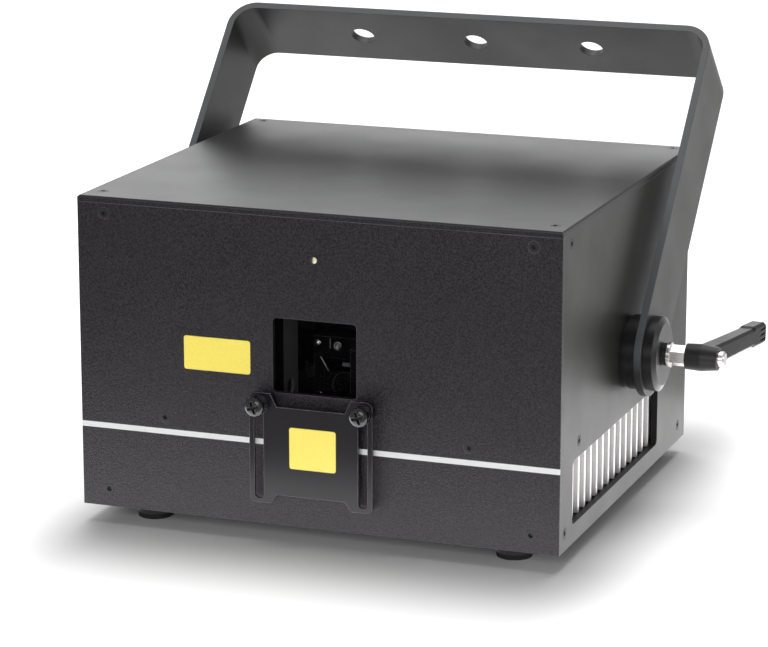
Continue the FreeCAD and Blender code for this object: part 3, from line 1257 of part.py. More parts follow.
data_male = fuse("data_male", data_cup,
                 *[rod("data_pin", "data_pin_radius", "data_pin_length + fit_gap", x, y,
                       f"{data_floor} - fit_gap") for x, y in pin_row])
data_places = [(DATA_X, REAR, f"({LOWER} + {side} * data_pitch / 2)", "+Y") for side in PAIR]
node("data_sockets", bundle("data_sockets", copies("data_in", data_male, data_places[:1]),
                            copies("data_out", data_female, data_places[1:])))

dmx_face = "(dmx_flange_thickness + dmx_barrel_length)"
dmx_blank = fuse("dmx_blank", block("dmx_flange", *around("dmx_flange_width / 2", "dmx_flange_height / 2"),
                                    ("0", "dmx_flange_thickness")),
                 rod("dmx_barrel", "dmx_barrel_radius", f"dmx_body_length + {dmx_face}",
                     z="-dmx_body_length"))
dmx_floor = f"({dmx_face} - dmx_cavity_depth)"
pin_spots = [(f"dmx_pin_circle * {share_x}", f"dmx_pin_circle * {share_y}") for share_x, share_y in
             (("cos(0)", "sin(0)"), ("cos(90)", "sin(90)"), ("cos(180)", "sin(180)"))]
dmx_male = fuse("dmx_male", cut("dmx_cup", dmx_blank,
                                rod("dmx_cavity", "dmx_cavity_radius", "dmx_cavity_depth + cut_overrun",
                                    z=dmx_floor)),
                *[rod("dmx_pin", "dmx_pin_radius", "dmx_pin_length + fit_gap", x, y, f"{dmx_floor} - fit_gap")
                  for x, y in pin_spots])
dmx_female = cut("dmx_female", dmx_blank,
                 *[rod("dmx_pin_hole", "dmx_pin_radius", "dmx_pin_length + cut_overrun", x, y,
                       f"{dmx_face} - dmx_pin_length")
                   for x, y in pin_spots])
dmx_spots = [(f"({ROW_HALF} - dmx_inset - {index} * dmx_pitch)", REAR, LOWER, "+Y") for index in (1, 0)]
node("dmx_sockets", bundle("dmx_sockets", copies("dmx_in", dmx_male, dmx_spots[:1]),
                           copies("dmx_out", dmx_female, dmx_spots[1:])))

DISPLAY_LOW = f"({UPPER} - display_height / 2)"
DISPLAY_HIGH = f"({UPPER} + display_height / 2)"
display = fuse("display_window",
               block("display_pane", (DISPLAY_LEFT, DISPLAY_RIGHT), (INNER_REAR, REAR),
                     (DISPLAY_LOW, DISPLAY_HIGH)),
               block("display_rim", (f"{DISPLAY_LEFT} - display_lip", f"{DISPLAY_RIGHT} + display_lip"),
                     (f"{INNER_REAR} - display_lip_thickness", INNER_REAR),
                     (f"{DISPLAY_LOW} - display_lip", f"{DISPLAY_HIGH} + display_lip")))
node("display_window", display)

button = turned("button_pattern", [
    ("0", f"{BEHIND} - button_flange"), ("button_flange_radius", f"{BEHIND} - button_flange"),
    ("button_flange_radius", BEHIND),
    ("button_radius", BEHIND), ("button_radius", "button_proud"), ("0", "button_proud")])
button_places = [(f"({DISPLAY_RIGHT} + button_lead + {index} * button_pitch)", REAR, UPPER, "+Y")
                 for index in range(BUTTON_COUNT)]
for index, place in enumerate(button_places, start=1):
    node(f"menu_button_{index}", copies(f"menu_button_{index}", button, [place]))

BOARD_FACE = f"({INNER_REAR} - control_board_gap)"
BOARD_LEFT = f"(control_board_inset - {ROW_HALF})"
board_x = (BOARD_LEFT, f"({BOARD_LEFT} + control_board_width)")
board_z = ("foot_height + control_board_low", "foot_height + control_board_low + control_board_height")
control = [block("control_sheet", board_x, (f"{BOARD_FACE} - board_thickness", BOARD_FACE), board_z)]
control += [rod("control_standoff", "standoff_radius", "control_board_gap", x, BOARD_FACE, z, "+Y")
            for x in (f"{board_x[0]} + standoff_inset", f"{board_x[1]} - standoff_inset")
            for z in (f"{board_z[0]} + standoff_inset", f"{board_z[1]} - standoff_inset")]
control += [block("control_switch", (f"{x} - button_switch_width / 2", f"{x} + button_switch_width / 2"),
                  (BOARD_FACE, f"{INNER_REAR} - button_flange - button_travel - fit_gap"),
                  (f"{UPPER} - button_switch_width / 2", f"{UPPER} + button_switch_width / 2"))
            for x, _, _, _ in button_places]
node("control_board", bundle("control_board", *control))

eye_tab = fuse("eye_form",
               block("eye_base", *around("eye_base_width / 2", "eye_base_height / 2"),
                     ("0", "eye_thickness")),
               block("eye_web", ("-eye_end_radius", "eye_end_radius"),
                     ("-eye_thickness / 2", "eye_thickness / 2"), ("0", "eye_reach")),
               rod("eye_end", "eye_end_radius", "eye_thickness", y="-eye_thickness / 2", z="eye_reach",
                   toward="+Y"))
eye = cut("eye_pattern", eye_tab, rod("eye_hole", "eye_hole_radius", "eye_thickness + 2 * cut_overrun",
                                      y="-eye_thickness / 2 - cut_overrun", z="eye_reach", toward="+Y"))
node("safety_eye", copies("safety_eye", eye, [(EYE_X, REAR, "foot_height + eye_height", "+Y")]))


# Rear panel, cut for its fittings
def rear_slot(name, x, z, half_wide, half_high):
    return block(name, (f"{x} - {half_wide}", f"{x} + {half_wide}"),
                 (f"{INNER_REAR} - cut_overrun", f"{REAR} + cut_overrun"),
                 (f"{z} - {half_high}", f"{z} + {half_high}"))


def rear_hole(name, x, z, radius):
    return rod(name, radius, "panel_thickness + 2 * cut_overrun", x, f"{INNER_REAR} - cut_overrun", z, "+Y")


rear_cuts = [rear_slot("inlet_slot", MAINS_X, MAINS, "(inlet_body_width / 2 + panel_fit_gap)",
                       "(inlet_body_height / 2 + panel_fit_gap)"),
             rear_slot("rocker_slot", ROCKER_X, MAINS,
                       "(rocker_frame_width / 2 - rocker_lip + panel_fit_gap)",
                       "(rocker_frame_height / 2 - rocker_lip + panel_fit_gap)"),
             rear_slot("display_slot", f"({DISPLAY_LEFT} + display_width / 2)", UPPER,
                       "(display_width / 2 + panel_fit_gap)",
                       "(display_height / 2 + panel_fit_gap)"),
             rear_hole("lock_hole", KEY_X, UPPER, "lock_body_radius + panel_fit_gap"),
             rear_hole("interlock_hole", INTERLOCK_X, UPPER, "interlock_body_radius + panel_fit_gap")]
rear_cuts += [rear_slot("data_slot", x, z, "(data_shell_width / 2 + panel_fit_gap)",
                        "(data_shell_height / 2 + panel_fit_gap)") for x, _, z, _ in data_places]
rear_cuts += [rear_hole("dmx_hole", x, LOWER, "dmx_barrel_radius + panel_fit_gap") for x, _, _,
              _ in dmx_spots]
rear_cuts += [rear_hole("button_hole", x, UPPER, "button_radius + button_gap") for x, _, _,
              _ in button_places]
rear_blank = block("rear_blank", (f"-{SIDE}", SIDE), (INNER_REAR, REAR), (LOW, CEILING))
node("rear_panel", cut("rear_panel", rear_blank, screw_holes, *rear_cuts))


# Check every object and write each sub-part
doc.recompute()
for thing in doc.Objects:
    if {"Invalid", "Error"} & set(thing.State):
        raise RuntimeError(f"{thing.Label} could not be computed")
os.makedirs("parts", exist_ok=True)
for thing in nodes:
    if thing.Shape.isNull() or not thing.Shape.isValid() or not thing.Shape.Solids:
        raise RuntimeError(f"{thing.Label} has no sound solid")
    thing.Shape.exportStep(f"parts/{thing.Label}.step")
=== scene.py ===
# %% [markdown]
# # A laser show projector, dressed for the camera
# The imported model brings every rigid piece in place. This script gives the pieces their finishes, adds what
# is too fine for the solids, such as the sockets of the screws, and sets up the camera and the light. The
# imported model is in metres. Profiles of turned pieces and places on a fitting are easier to read in
# millimetres, so MM takes them over to metres where they are used.

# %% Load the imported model
import math
import bmesh
import bpy
from mathutils import Matrix, Vector


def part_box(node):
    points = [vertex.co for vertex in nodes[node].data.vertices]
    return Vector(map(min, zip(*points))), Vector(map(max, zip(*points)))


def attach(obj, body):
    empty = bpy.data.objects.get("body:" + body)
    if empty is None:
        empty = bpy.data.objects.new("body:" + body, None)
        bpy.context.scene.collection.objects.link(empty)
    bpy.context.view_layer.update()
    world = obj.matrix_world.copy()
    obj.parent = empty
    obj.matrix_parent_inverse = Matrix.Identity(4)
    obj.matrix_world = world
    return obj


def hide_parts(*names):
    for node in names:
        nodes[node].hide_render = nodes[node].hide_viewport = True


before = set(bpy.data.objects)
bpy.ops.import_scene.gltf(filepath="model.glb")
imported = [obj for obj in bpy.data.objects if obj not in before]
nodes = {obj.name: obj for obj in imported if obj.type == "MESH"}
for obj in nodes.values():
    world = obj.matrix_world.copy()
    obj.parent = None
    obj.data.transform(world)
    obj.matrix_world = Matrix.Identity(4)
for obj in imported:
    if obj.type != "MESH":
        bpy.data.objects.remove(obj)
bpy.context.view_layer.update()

MM = 0.001
scene = bpy.context.scene

# %% Outer faces of the housing
front_low, front_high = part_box("front_panel")
FRONT = front_low.y
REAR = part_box("rear_panel")[1].y
SIDE = front_high.x
BODY_LOW = front_low.z
BODY_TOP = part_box("top_cover")[1].z
print(f"{len(nodes)} pieces, housing {2 * SIDE / MM:.0f} mm wide, front face at y {FRONT / MM:.1f} mm")

# %% [markdown]
# ## Camera
# The camera could be moved by eye until the picture fits. Here its place was worked out from the corners of
# the housing in the photograph, because a small error in the angle shows on every edge: it stands in front,
# about twenty degrees to the right and fourteen above, and looks through a long lens.

# %% Camera at the photograph's angle
SENSOR_WIDTH = 36
LENS = 148.71
FAR_LIMIT = 20
CAMERA_PLACE = Vector((519.9 * MM, FRONT - 1309.1 * MM, 456.3 * MM))
LOOK = Vector((-0.33769, 0.90996, -0.24070)).normalized()

camera_data = bpy.data.cameras.new("photo_camera")
camera_data.sensor_fit = "HORIZONTAL"
camera_data.sensor_width = SENSOR_WIDTH
camera_data.lens = LENS
camera_data.clip_end = FAR_LIMIT
camera = bpy.data.objects.new("photo_camera", camera_data)
scene.collection.objects.link(camera)
across = LOOK.cross(Vector((0, 0, 1))).normalized()
turn = Matrix((across, across.cross(LOOK), -LOOK)).transposed().to_4x4()
camera.matrix_world = Matrix.Translation(CAMERA_PLACE) @ turn
scene.camera = camera
print("camera at", [round(value, 3) for value in camera.location])

# %% [markdown]
# ## Nodes in few words
# Materials, the floor and the screws are all made of nodes. Setting each input and drawing each link takes
# a line of its own in Blender, so a few helpers do that: an input is fed with a number, a colour or another
# node's output.

# %% Helpers for node trees


def feed(tree, socket, value):
    """Sets an input to a value, or links it where the value is the output of another node."""
    if isinstance(value, bpy.types.NodeSocket):
        tree.links.new(value, socket)
    else:
        socket.default_value = value


def add(tree, kind, **inputs):
    """A node with some of its inputs fed by name."""
    made = tree.nodes.new(kind)
    for name, value in inputs.items():
        feed(tree, made.inputs[name.replace("_", " ")], value)
    return made


def maths(tree, operation, *values):
    """What comes out of a math node."""
    made = tree.nodes.new("ShaderNodeMath")
    made.operation = operation
    for socket, value in zip(made.inputs, values):
        feed(tree, socket, value)
    return made.outputs[0]


def vectors(tree, operation, *values):
    """What comes out of a vector math node: a number for a length or a dot product, else a vector."""
    made = tree.nodes.new("ShaderNodeVectorMath")
    made.operation = operation
    for socket, value in zip(made.inputs, values):
        feed(tree, socket, value)
    return made.outputs["Value" if operation in ("LENGTH", "DOT_PRODUCT") else "Vector"]


def ramp(tree, value, low=0.0, high=1.0, start=0.0, end=1.0, soft=False):
    """Takes a value from the range low to high over to the range start to end, and stops at both ends."""
    made = add(tree, "ShaderNodeMapRange", Value=value, From_Min=low, From_Max=high, To_Min=start, To_Max=end)
    made.interpolation_type = "SMOOTHSTEP" if soft else "LINEAR"
    return made.outputs[0]


def new_material(name):
    """A material, its node tree and its Principled shader."""
    material = bpy.data.materials.new(name)
    material.use_nodes = True
    tree = material.node_tree
    return material, tree, tree.nodes["Principled BSDF"]


print("node helpers: feed, add, maths, vectors, ramp, new_material")

# %% [markdown]
# ## Floor and light
# A studio table: pale paper under one wide lamp overhead, which gives the soft dark shadow round the base.
# Further out the paper fades into plain white for the camera and for mirrored rays, by the distance from
# the footprint of the housing. A white floor by more light would wash out the shadow and the black coats,
# so the fade is a glow that only those rays see.

# %% Paper on the table
TABLE_REACH = 6
PAPER = (0.55, 0.55, 0.55, 1)
PAPER_ROUGHNESS = 0.9
SHADOW_MIDDLE = (8 * MM, (FRONT + REAR) / 2, 0)
SHADOW_CORE = (SIDE - 14 * MM, (REAR - FRONT) / 2, 0)
SHADOW_REACH = (52 * MM, 100 * MM, 1)
NEAR_FADE = {"low": 0.1, "high": 1.0, "end": 0.56}
FAR_FADE = {"low": 5.0, "high": 14.0, "end": 0.44}

scene.view_settings.view_transform = "Standard"


def camera_or_mirror(tree):
    """One where the ray comes from the camera or by way of a gloss or a glass, else zero."""
    path = add(tree, "ShaderNodeLightPath").outputs
    seen = maths(tree, "MAXIMUM", path["Is Camera Ray"], path["Is Glossy Ray"])
    return maths(tree, "MAXIMUM", seen, path["Is Transmission Ray"])


floor_mesh = bpy.data.meshes.new("floor")
corners = [(x * TABLE_REACH, y * TABLE_REACH, 0) for x, y in ((-1, -1), (1, -1), (1, 1), (-1, 1))]
floor_mesh.from_pydata(corners, [], [(0, 1, 2, 3)])
floor = bpy.data.objects.new("floor", floor_mesh)
scene.collection.objects.link(floor)
floor_paper, tree, shader = new_material("floor_paper")
shader.inputs["Base Color"].default_value = PAPER
shader.inputs["Roughness"].default_value = PAPER_ROUGHNESS
shader.inputs["Specular IOR Level"].default_value = 0.0
spot = add(tree, "ShaderNodeTexCoord").outputs["Object"]
spot = vectors(tree, "ABSOLUTE", vectors(tree, "SUBTRACT", spot, SHADOW_MIDDLE))
spot = vectors(tree, "MAXIMUM", vectors(tree, "SUBTRACT", spot, SHADOW_CORE), (0, 0, 0))
away = vectors(tree, "LENGTH", vectors(tree, "DIVIDE", spot, SHADOW_REACH))
fade = maths(tree, "ADD", *(ramp(tree, away, soft=True, **stage) for stage in (NEAR_FADE, FAR_FADE)))
strength = maths(tree, "MULTIPLY", camera_or_mirror(tree), fade)
glow = add(tree, "ShaderNodeEmission", Color=(1, 1, 1, 1), Strength=strength)
both = add(tree, "ShaderNodeAddShader")
feed(tree, both.inputs[0], shader.outputs[0])
feed(tree, both.inputs[1], glow.outputs[0])
feed(tree, tree.nodes["Material Output"].inputs["Surface"], both.outputs[0])
floor_mesh.materials.append(floor_paper)
print("paper laid")

# %% [markdown]
# The world gives a little even light and is plain white where the camera or a mirrored ray meets it. A lamp
# in front lights the front, one on the right the side, and one behind puts the soft sheen on the top cover.
# Two white sheets flat on the table are only there for the coats to mirror: they make the lower parts
# paler, as a bright table does.

# %% World and lamps
FILL = 0.22

world = bpy.data.worlds.new("studio")
world.use_nodes = True
scene.world = world
tree = world.node_tree
background = tree.nodes["Background"]
background.inputs["Color"].default_value = (1, 1, 1, 1)
feed(tree, background.inputs["Strength"], ramp(tree, camera_or_mirror(tree), start=FILL))


def lamp(name, place, aim, size, power):
    """A rectangular lamp that the camera doesn't see."""
    data = bpy.data.lights.new(name, "AREA")
    data.shape = "RECTANGLE"
    data.size, data.size_y = size
    data.energy = power
    made = bpy.data.objects.new(name, data)
    made.location = place
    made.rotation_euler = (Vector(aim) - Vector(place)).to_track_quat("-Z", "Y").to_euler()
    made.visible_camera = False
    scene.collection.objects.link(made)
    return made


def mirrored_sheet(name, middle, level, size, power):
    """A white sheet that looks up from the table and shows only in gloss."""
    sheet = lamp(name, place=(0, middle, level), aim=(0, middle, 1), size=size, power=power)
    sheet.visible_diffuse = False


lamp("top_lamp", place=(-0.06, 0.3, 1.35), aim=(0, 0, 0), size=(1.1, 1.1), power=20)
lamp("key_lamp", place=(0.2, -1.7, 0.6), aim=(0, 0, 0.08), size=(0.9, 0.7), power=15.5)
lamp("right_lamp", place=(1.4, 0.2, 0.35), aim=(0, 0, 0.05), size=(0.8, 0.5), power=5)
lamp("rear_lamp", place=(-0.2, 0.7, 0.45), aim=(-0.02, 0.05, 0.16), size=(0.8, 0.22), power=2.4)
mirrored_sheet("table_sheet", middle=-0.015, level=0.002, size=(0.6, 0.41), power=1.7)
mirrored_sheet("front_sheet", middle=-0.17, level=0.003, size=(0.5, 0.1), power=0.68)
print("studio lit by", len(bpy.data.lights), "lamps")

# %% [markdown]
# ## Shared surface effects
# Real coatings are never even: powder coat has a fine orange-peel, plastic a mould grain, metal fine lines
# from drawing or milling, and every edge is a little rounded and worn, its paler rim partly a painted
# highlight.
# Such an effect could be painted by hand, but as a node group it is built once and placed in each material
# that shows it, with its own values.

# %% Helpers for node groups


def new_group(kind, name, inputs, outputs):
    """A node group with named sockets, and its two end nodes."""
    group = bpy.data.node_groups.new(name, kind)
    for label, sort, value in inputs:
        socket = group.interface.new_socket(label, in_out="INPUT", socket_type=f"NodeSocket{sort}")
        if value is not None:
            socket.default_value = value
    for label, sort in outputs:
        group.interface.new_socket(label, in_out="OUTPUT", socket_type=f"NodeSocket{sort}")
    return group, group.nodes.new("NodeGroupInput"), group.nodes.new("NodeGroupOutput")


def effect(name, inputs, outputs):
    """A node group for materials."""
    return new_group("ShaderNodeTree", name, inputs, outputs)


def place_group(tree, group, **inputs):
    """A node group placed in a material, with some of its inputs fed."""
    made = tree.nodes.new("ShaderNodeGroup")
    made.node_tree = group
    for name, value in inputs.items():
        feed(tree, made.inputs[name], value)
    return made


print("group helpers: new_group, effect, place_group")

# %% [markdown]
# Sprayed powder melts into small cells with pits between them, and moulds leave a like grain. Noise alone
# looks like smoke, so a share of a cell pattern is taken from it. The same noise, spread wider, gives the
# flecks of the colour, so that flecks and bumps lie together.

# %% Grain of a coat
CELL_SHARE = 0.4
FLECK_RANGE = (0.39, 0.65)

grain_group, start, end = effect("coat_grain", [("Vector", "Vector", None), ("Size", "Float", 800.0)],
                                 [("Height", "Float"), ("Fleck", "Float")])
where, size = start.outputs["Vector"], start.outputs["Size"]
noise = add(grain_group, "ShaderNodeTexNoise", Vector=where, Scale=size, Detail=3.0, Roughness=0.6).outputs[0]
cells = add(grain_group, "ShaderNodeTexVoronoi", Vector=where, Scale=size).outputs["Distance"]
height = maths(grain_group, "SUBTRACT", noise, maths(grain_group, "MULTIPLY", cells, CELL_SHARE))
feed(grain_group, end.inputs["Height"], height)
feed(grain_group, end.inputs["Fleck"], ramp(grain_group, noise, *FLECK_RANGE))
print("effect", grain_group.name)

# %% [markdown]
# Hands and cloths leave duller and shinier clouds on a surface. They could be painted as a map, but a large
# soft noise has no seams: each finish spreads this mask between its own two values of roughness.

# %% Uneven gloss of a handled surface
CLOUD_RANGE = (0.3, 0.7)

mottle_group, start, end = effect("handled_mottle", [("Vector", "Vector", None), ("Size", "Float", 30.0)],
                                  [("Mask", "Float")])
cloud = add(mottle_group, "ShaderNodeTexNoise", Vector=start.outputs["Vector"], Scale=start.outputs["Size"],
            Detail=4.0, Roughness=0.55).outputs[0]
feed(mottle_group, end.inputs["Mask"], ramp(mottle_group, cloud, *CLOUD_RANGE))
print("effect", mottle_group.name)

# %% [markdown]
# Drawn, rolled and milled metal has fine lines along the way of the tool. They are noise too, made long by
# a small factor on the coordinates along the lines and a large one across them.

# %% Lines of drawn metal
lines_group, start, end = effect("drawn_lines",
                                 [("Vector", "Vector", None), ("Stretch", "Vector", (20, 900, 900))],
                                 [("Height", "Float")])
stretched = vectors(lines_group, "MULTIPLY", start.outputs["Vector"], start.outputs["Stretch"])
streaks = add(lines_group, "ShaderNodeTexNoise", Vector=stretched, Scale=1.0, Detail=2.0).outputs[0]
feed(lines_group, end.inputs["Height"], streaks)
print("effect", lines_group.name)

# %% [markdown]
# A sharp edge of a solid looks cut from paper. The Bevel node rounds only the shading, which costs no
# faces, and where its normal leaves that of the face the edge begins: that is the mask for paler edges,
# partly worn coat and partly a painted highlight.

# %% Worn edges and painted edge highlights
EDGE_SAMPLES = 4
EDGE_RANGE = (0.995, 0.86)

edge_group, start, end = effect("worn_and_highlit_edge", [("Reach", "Float", 0.4 * MM)],
                                [("Normal", "Vector"), ("Mask", "Float")])
rounding = add(edge_group, "ShaderNodeBevel", Radius=start.outputs["Reach"])
rounding.samples = EDGE_SAMPLES
face_normal = add(edge_group, "ShaderNodeNewGeometry").outputs["Normal"]
agreement = vectors(edge_group, "DOT_PRODUCT", rounding.outputs[0], face_normal)
feed(edge_group, end.inputs["Normal"], rounding.outputs[0])
feed(edge_group, end.inputs["Mask"], ramp(edge_group, agreement, *EDGE_RANGE))
print("effect", edge_group.name)

# %% [markdown]
# Some coats differ between the sides of one piece, and some sides carry a painted highlight. Such sides could
# get a second material, but the packed meshes stay as they are, so a mask compares the direction of each face
# with a given one.

# %% Faces that look one way
facing_group, start, end = effect("facing_one_way",
                                  [("Normal", "Vector", None), ("Direction", "Vector", (0, 0, 1)),
                                   ("Start", "Float", 0.0), ("End", "Float", 1.0)],
                                  [("Mask", "Float")])
lean = vectors(facing_group, "DOT_PRODUCT", start.outputs["Normal"], start.outputs["Direction"])
lean = maths(facing_group, "ABSOLUTE", lean)
feed(facing_group, end.inputs["Mask"], ramp(facing_group, lean, start.outputs["Start"], start.outputs["End"]))
print("effect", facing_group.name)

# %% [markdown]
# ## Two kinds of finish
# Nearly every piece is either coated or moulded, with a flecked colour and a grain, or bare metal with
# drawn lines. One function makes each kind, so that a finish is one call with its own colours, gloss and
# depth of grain.

# %% Coated and bare materials
COAT_EDGE = 0.4 * MM
METAL_EDGE = 0.2 * MM
COAT_MOTTLE = 30.0
METAL_MOTTLE = 40.0
LEAST_WEAR_AND_HIGHLIGHT = 0.5
PALEST = 0.95


def between(tree, mask, first, second):
    """A colour between two by a mask; each is three numbers or another node's colour."""
    mix = add(tree, "ShaderNodeMix", Factor=mask)
    mix.data_type = "RGBA"
    # A Mix node has sockets for every kind of data: 6 and 7 are its two colours, output 2 is their mix.
    for socket, colour in ((mix.inputs[6], first), (mix.inputs[7], second)):
        feed(tree, socket, colour if isinstance(colour, bpy.types.NodeSocket) else (*colour, 1))
    return mix.outputs[2]


def coated(name, dark, light, rough, grain, depth, bump, gloss=0.5, wear_and_highlight=3.0):
    """A paint, plastic or rubber: flecked colour, uneven gloss, a fine grain and paler edges, partly worn
    coat and partly a painted highlight, paler than its light fleck by the factor of its last argument."""
    material, tree, shader = new_material(name)
    where = add(tree, "ShaderNodeTexCoord").outputs["Object"]
    skin = place_group(tree, grain_group, Vector=where, Size=grain).outputs
    cloud = place_group(tree, mottle_group, Vector=where, Size=COAT_MOTTLE).outputs["Mask"]
    edge = place_group(tree, edge_group, Reach=COAT_EDGE).outputs
    relief = add(tree, "ShaderNodeBump", Strength=bump, Distance=depth, Height=skin["Height"],
                 Normal=edge["Normal"])
    wear_and_highlight_mask = maths(tree, "MULTIPLY", edge["Mask"], ramp(tree, cloud, start=LEAST_WEAR_AND_HIGHLIGHT))
    wear_and_highlight_colour = [min(wear_and_highlight * value, PALEST) for value in light]
    colour = between(tree, wear_and_highlight_mask, between(tree, skin["Fleck"], dark, light), wear_and_highlight_colour)
    feed(tree, shader.inputs["Base Color"], colour)
    feed(tree, shader.inputs["Roughness"], ramp(tree, cloud, start=rough[0], end=rough[1]))
    feed(tree, shader.inputs["Normal"], relief.outputs[0])
    shader.inputs["Specular IOR Level"].default_value = gloss
    return material


def drawn(name, dark, light, rough, stretch, depth=0.03 * MM, bump=0.35):
    """A bare metal with lines from drawing, rolling or milling."""
    material, tree, shader = new_material(name)
    where = add(tree, "ShaderNodeTexCoord").outputs["Object"]
    lines = place_group(tree, lines_group, Vector=where, Stretch=stretch).outputs["Height"]
    cloud = place_group(tree, mottle_group, Vector=where, Size=METAL_MOTTLE).outputs["Mask"]
    edge = place_group(tree, edge_group, Reach=METAL_EDGE).outputs
    relief = add(tree, "ShaderNodeBump", Strength=bump, Distance=depth, Height=lines, Normal=edge["Normal"])
    feed(tree, shader.inputs["Base Color"], between(tree, lines, dark, light))
    feed(tree, shader.inputs["Roughness"], ramp(tree, cloud, start=rough[0], end=rough[1]))
    feed(tree, shader.inputs["Normal"], relief.outputs[0])
    shader.inputs["Metallic"].default_value = 1.0
    return material


print("two kinds of finish on", len(bpy.data.node_groups), "shared effects")

# %% [markdown]
# ## Coats, plastics and bare metals
# The front and rear have a rough charcoal powder coat, the rest of the sheet metal a smoother satin black.
# Powder is sprayed dry and baked, so it keeps fine bumps and flecks. A picture of paint would carry its own
# light along, so bumps and flecks come from noise; a coat is given by its darkest and its palest fleck.

# %% Coats of the sheet metal
# The edge factors of the powder, satin and shutter coats are set high, so their paler edges are mostly a
# painted highlight.
powder = coated("charcoal_powder_coat", dark=(0.0005, 0.0003, 0.0008), light=(0.0275, 0.0235, 0.0275),
                rough=(0.34, 0.42), grain=1300.0, depth=0.24 * MM, bump=0.9, gloss=0.14, wear_and_highlight=6.0)
satin = coated("satin_black_coat", dark=(0.008, 0.008, 0.009), light=(0.016, 0.016, 0.017),
               rough=(0.40, 0.44), grain=1500.0, depth=0.08 * MM, bump=0.35, gloss=0.12, wear_and_highlight=8.0)
side_satin = coated("side_satin_coat", dark=(0.010, 0.0095, 0.009), light=(0.018, 0.017, 0.016),
                    rough=(0.34, 0.40), grain=2200.0, depth=0.04 * MM, bump=0.25, gloss=0.10)
bracket_coat = coated("bracket_satin_coat", dark=(0.008, 0.0075, 0.007), light=(0.017, 0.016, 0.015),
                      rough=(0.38, 0.46), grain=1700.0, depth=0.06 * MM, bump=0.35, gloss=0.2)
shutter_coat = coated("shutter_satin_coat", dark=(0.006, 0.005, 0.0065), light=(0.0105, 0.009, 0.011),
                      rough=(0.21, 0.27), grain=2400.0, depth=0.04 * MM, bump=0.25, gloss=0.15, wear_and_highlight=40.0)
grey_sheet = coated("grey_sheet", dark=(0.42, 0.41, 0.42), light=(0.52, 0.51, 0.52),
                    rough=(0.5, 0.6), grain=1800.0, depth=0.04 * MM, bump=0.25, gloss=0.1, wear_and_highlight=1.2)
sheet_coats = (powder, satin, side_satin, bracket_coat, shutter_coat, grey_sheet)
print("sheet metal:", [coat.name for coat in sheet_coats])

# %% [markdown]
# The discs, the sockets and the buttons are glossy mouldings, the levers and the fans duller ones, and the
# feet are rubber. They differ in roughness and in how fine their mould grain is, so the same function makes
# them all.

# %% Plastics and rubber
PALE_CHIP = (0.82, 0.74, 0.52)

moulding = coated("glossy_black_moulding", dark=(0.005, 0.005, 0.006), light=(0.009, 0.009, 0.010),
                  rough=(0.26, 0.34), grain=700.0, depth=0.03 * MM, bump=0.15, gloss=0.18)
matt = coated("matt_black_moulding", dark=(0.010, 0.010, 0.011), light=(0.022, 0.022, 0.024),
              rough=(0.44, 0.54), grain=2600.0, depth=0.06 * MM, bump=0.4, gloss=0.3)
lever_black = coated("lever_moulding", dark=(0.005, 0.005, 0.006), light=(0.011, 0.011, 0.012),
                     rough=(0.36, 0.46), grain=2600.0, depth=0.05 * MM, bump=0.3, gloss=0.15)
rubber = coated("foot_rubber", dark=(0.010, 0.010, 0.010), light=(0.020, 0.020, 0.020),
                rough=(0.72, 0.86), grain=1500.0, depth=0.08 * MM, bump=0.4, gloss=0.2)
board_mask = coated("board_solder_mask", dark=(0.008, 0.075, 0.026), light=(0.016, 0.12, 0.045),
                    rough=(0.3, 0.42), grain=500.0, depth=0.04 * MM, bump=0.2, wear_and_highlight=1.4)
lamp_lens = coated("lamp_lens", dark=PALE_CHIP, light=PALE_CHIP,
                   rough=(0.18, 0.26), grain=900.0, depth=0.02 * MM, bump=0.1, wear_and_highlight=1.0)
print("plastics:", [coat.name for coat in (moulding, matt, lever_black, rubber, board_mask, lamp_lens)])

# %% [markdown]
# The washers, the hex inserts and the lever screws are nickel plated, the fins are bare extruded aluminium,
# and the housing screws are blackened. Black oxide and black anodising hide the metal, so they are made as
# coats; the others are metallic, with lines along the way they were drawn or milled.

# %% Bare and blackened metals
screw_black = coated("blackened_screw", dark=(0.006, 0.006, 0.007), light=(0.014, 0.014, 0.015),
                     rough=(0.46, 0.56), grain=1800.0, depth=0.05 * MM, bump=0.3, gloss=0.16)
black_oxide = coated("oiled_black_oxide", dark=(0.005, 0.005, 0.006), light=(0.010, 0.010, 0.011),
                     rough=(0.14, 0.22), grain=900.0, depth=0.03 * MM, bump=0.2, gloss=0.26)
# The anodised coat gets a high edge factor: the paler edges of the scanner block are a painted highlight.
anodised = coated("black_anodised", dark=(0.005, 0.005, 0.0055), light=(0.009, 0.009, 0.010),
                  rough=(0.4, 0.5), grain=2600.0, depth=0.03 * MM, bump=0.2, gloss=0.05, wear_and_highlight=40.0)
fin_metal = drawn("extruded_aluminium", dark=(0.58, 0.57, 0.57), light=(0.68, 0.67, 0.67),
                  rough=(0.56, 0.68), stretch=(25, 1200, 1200))
milled = drawn("milled_aluminium", dark=(0.55, 0.56, 0.57), light=(0.72, 0.73, 0.74),
               rough=(0.3, 0.42), stretch=(700, 60, 700))
nickel = drawn("bright_nickel", dark=(0.32, 0.30, 0.295), light=(0.45, 0.425, 0.42),
               rough=(0.14, 0.24), stretch=(120, 900, 900), depth=0.02 * MM, bump=0.2)
zinc_plate = drawn("zinc_plate", dark=(0.30, 0.30, 0.31), light=(0.42, 0.42, 0.43),
                   rough=(0.3, 0.4), stretch=(300, 300, 300), depth=0.02 * MM, bump=0.15)
black_steel = drawn("blackened_steel", dark=(0.030, 0.030, 0.032), light=(0.060, 0.060, 0.064),
                    rough=(0.24, 0.36), stretch=(400, 400, 400), depth=0.02 * MM, bump=0.2)
silvered = drawn("coated_mirror", dark=(0.16, 0.17, 0.20), light=(0.20, 0.21, 0.25),
                 rough=(0.03, 0.06), stretch=(200, 200, 200), depth=0.002 * MM, bump=0.05)
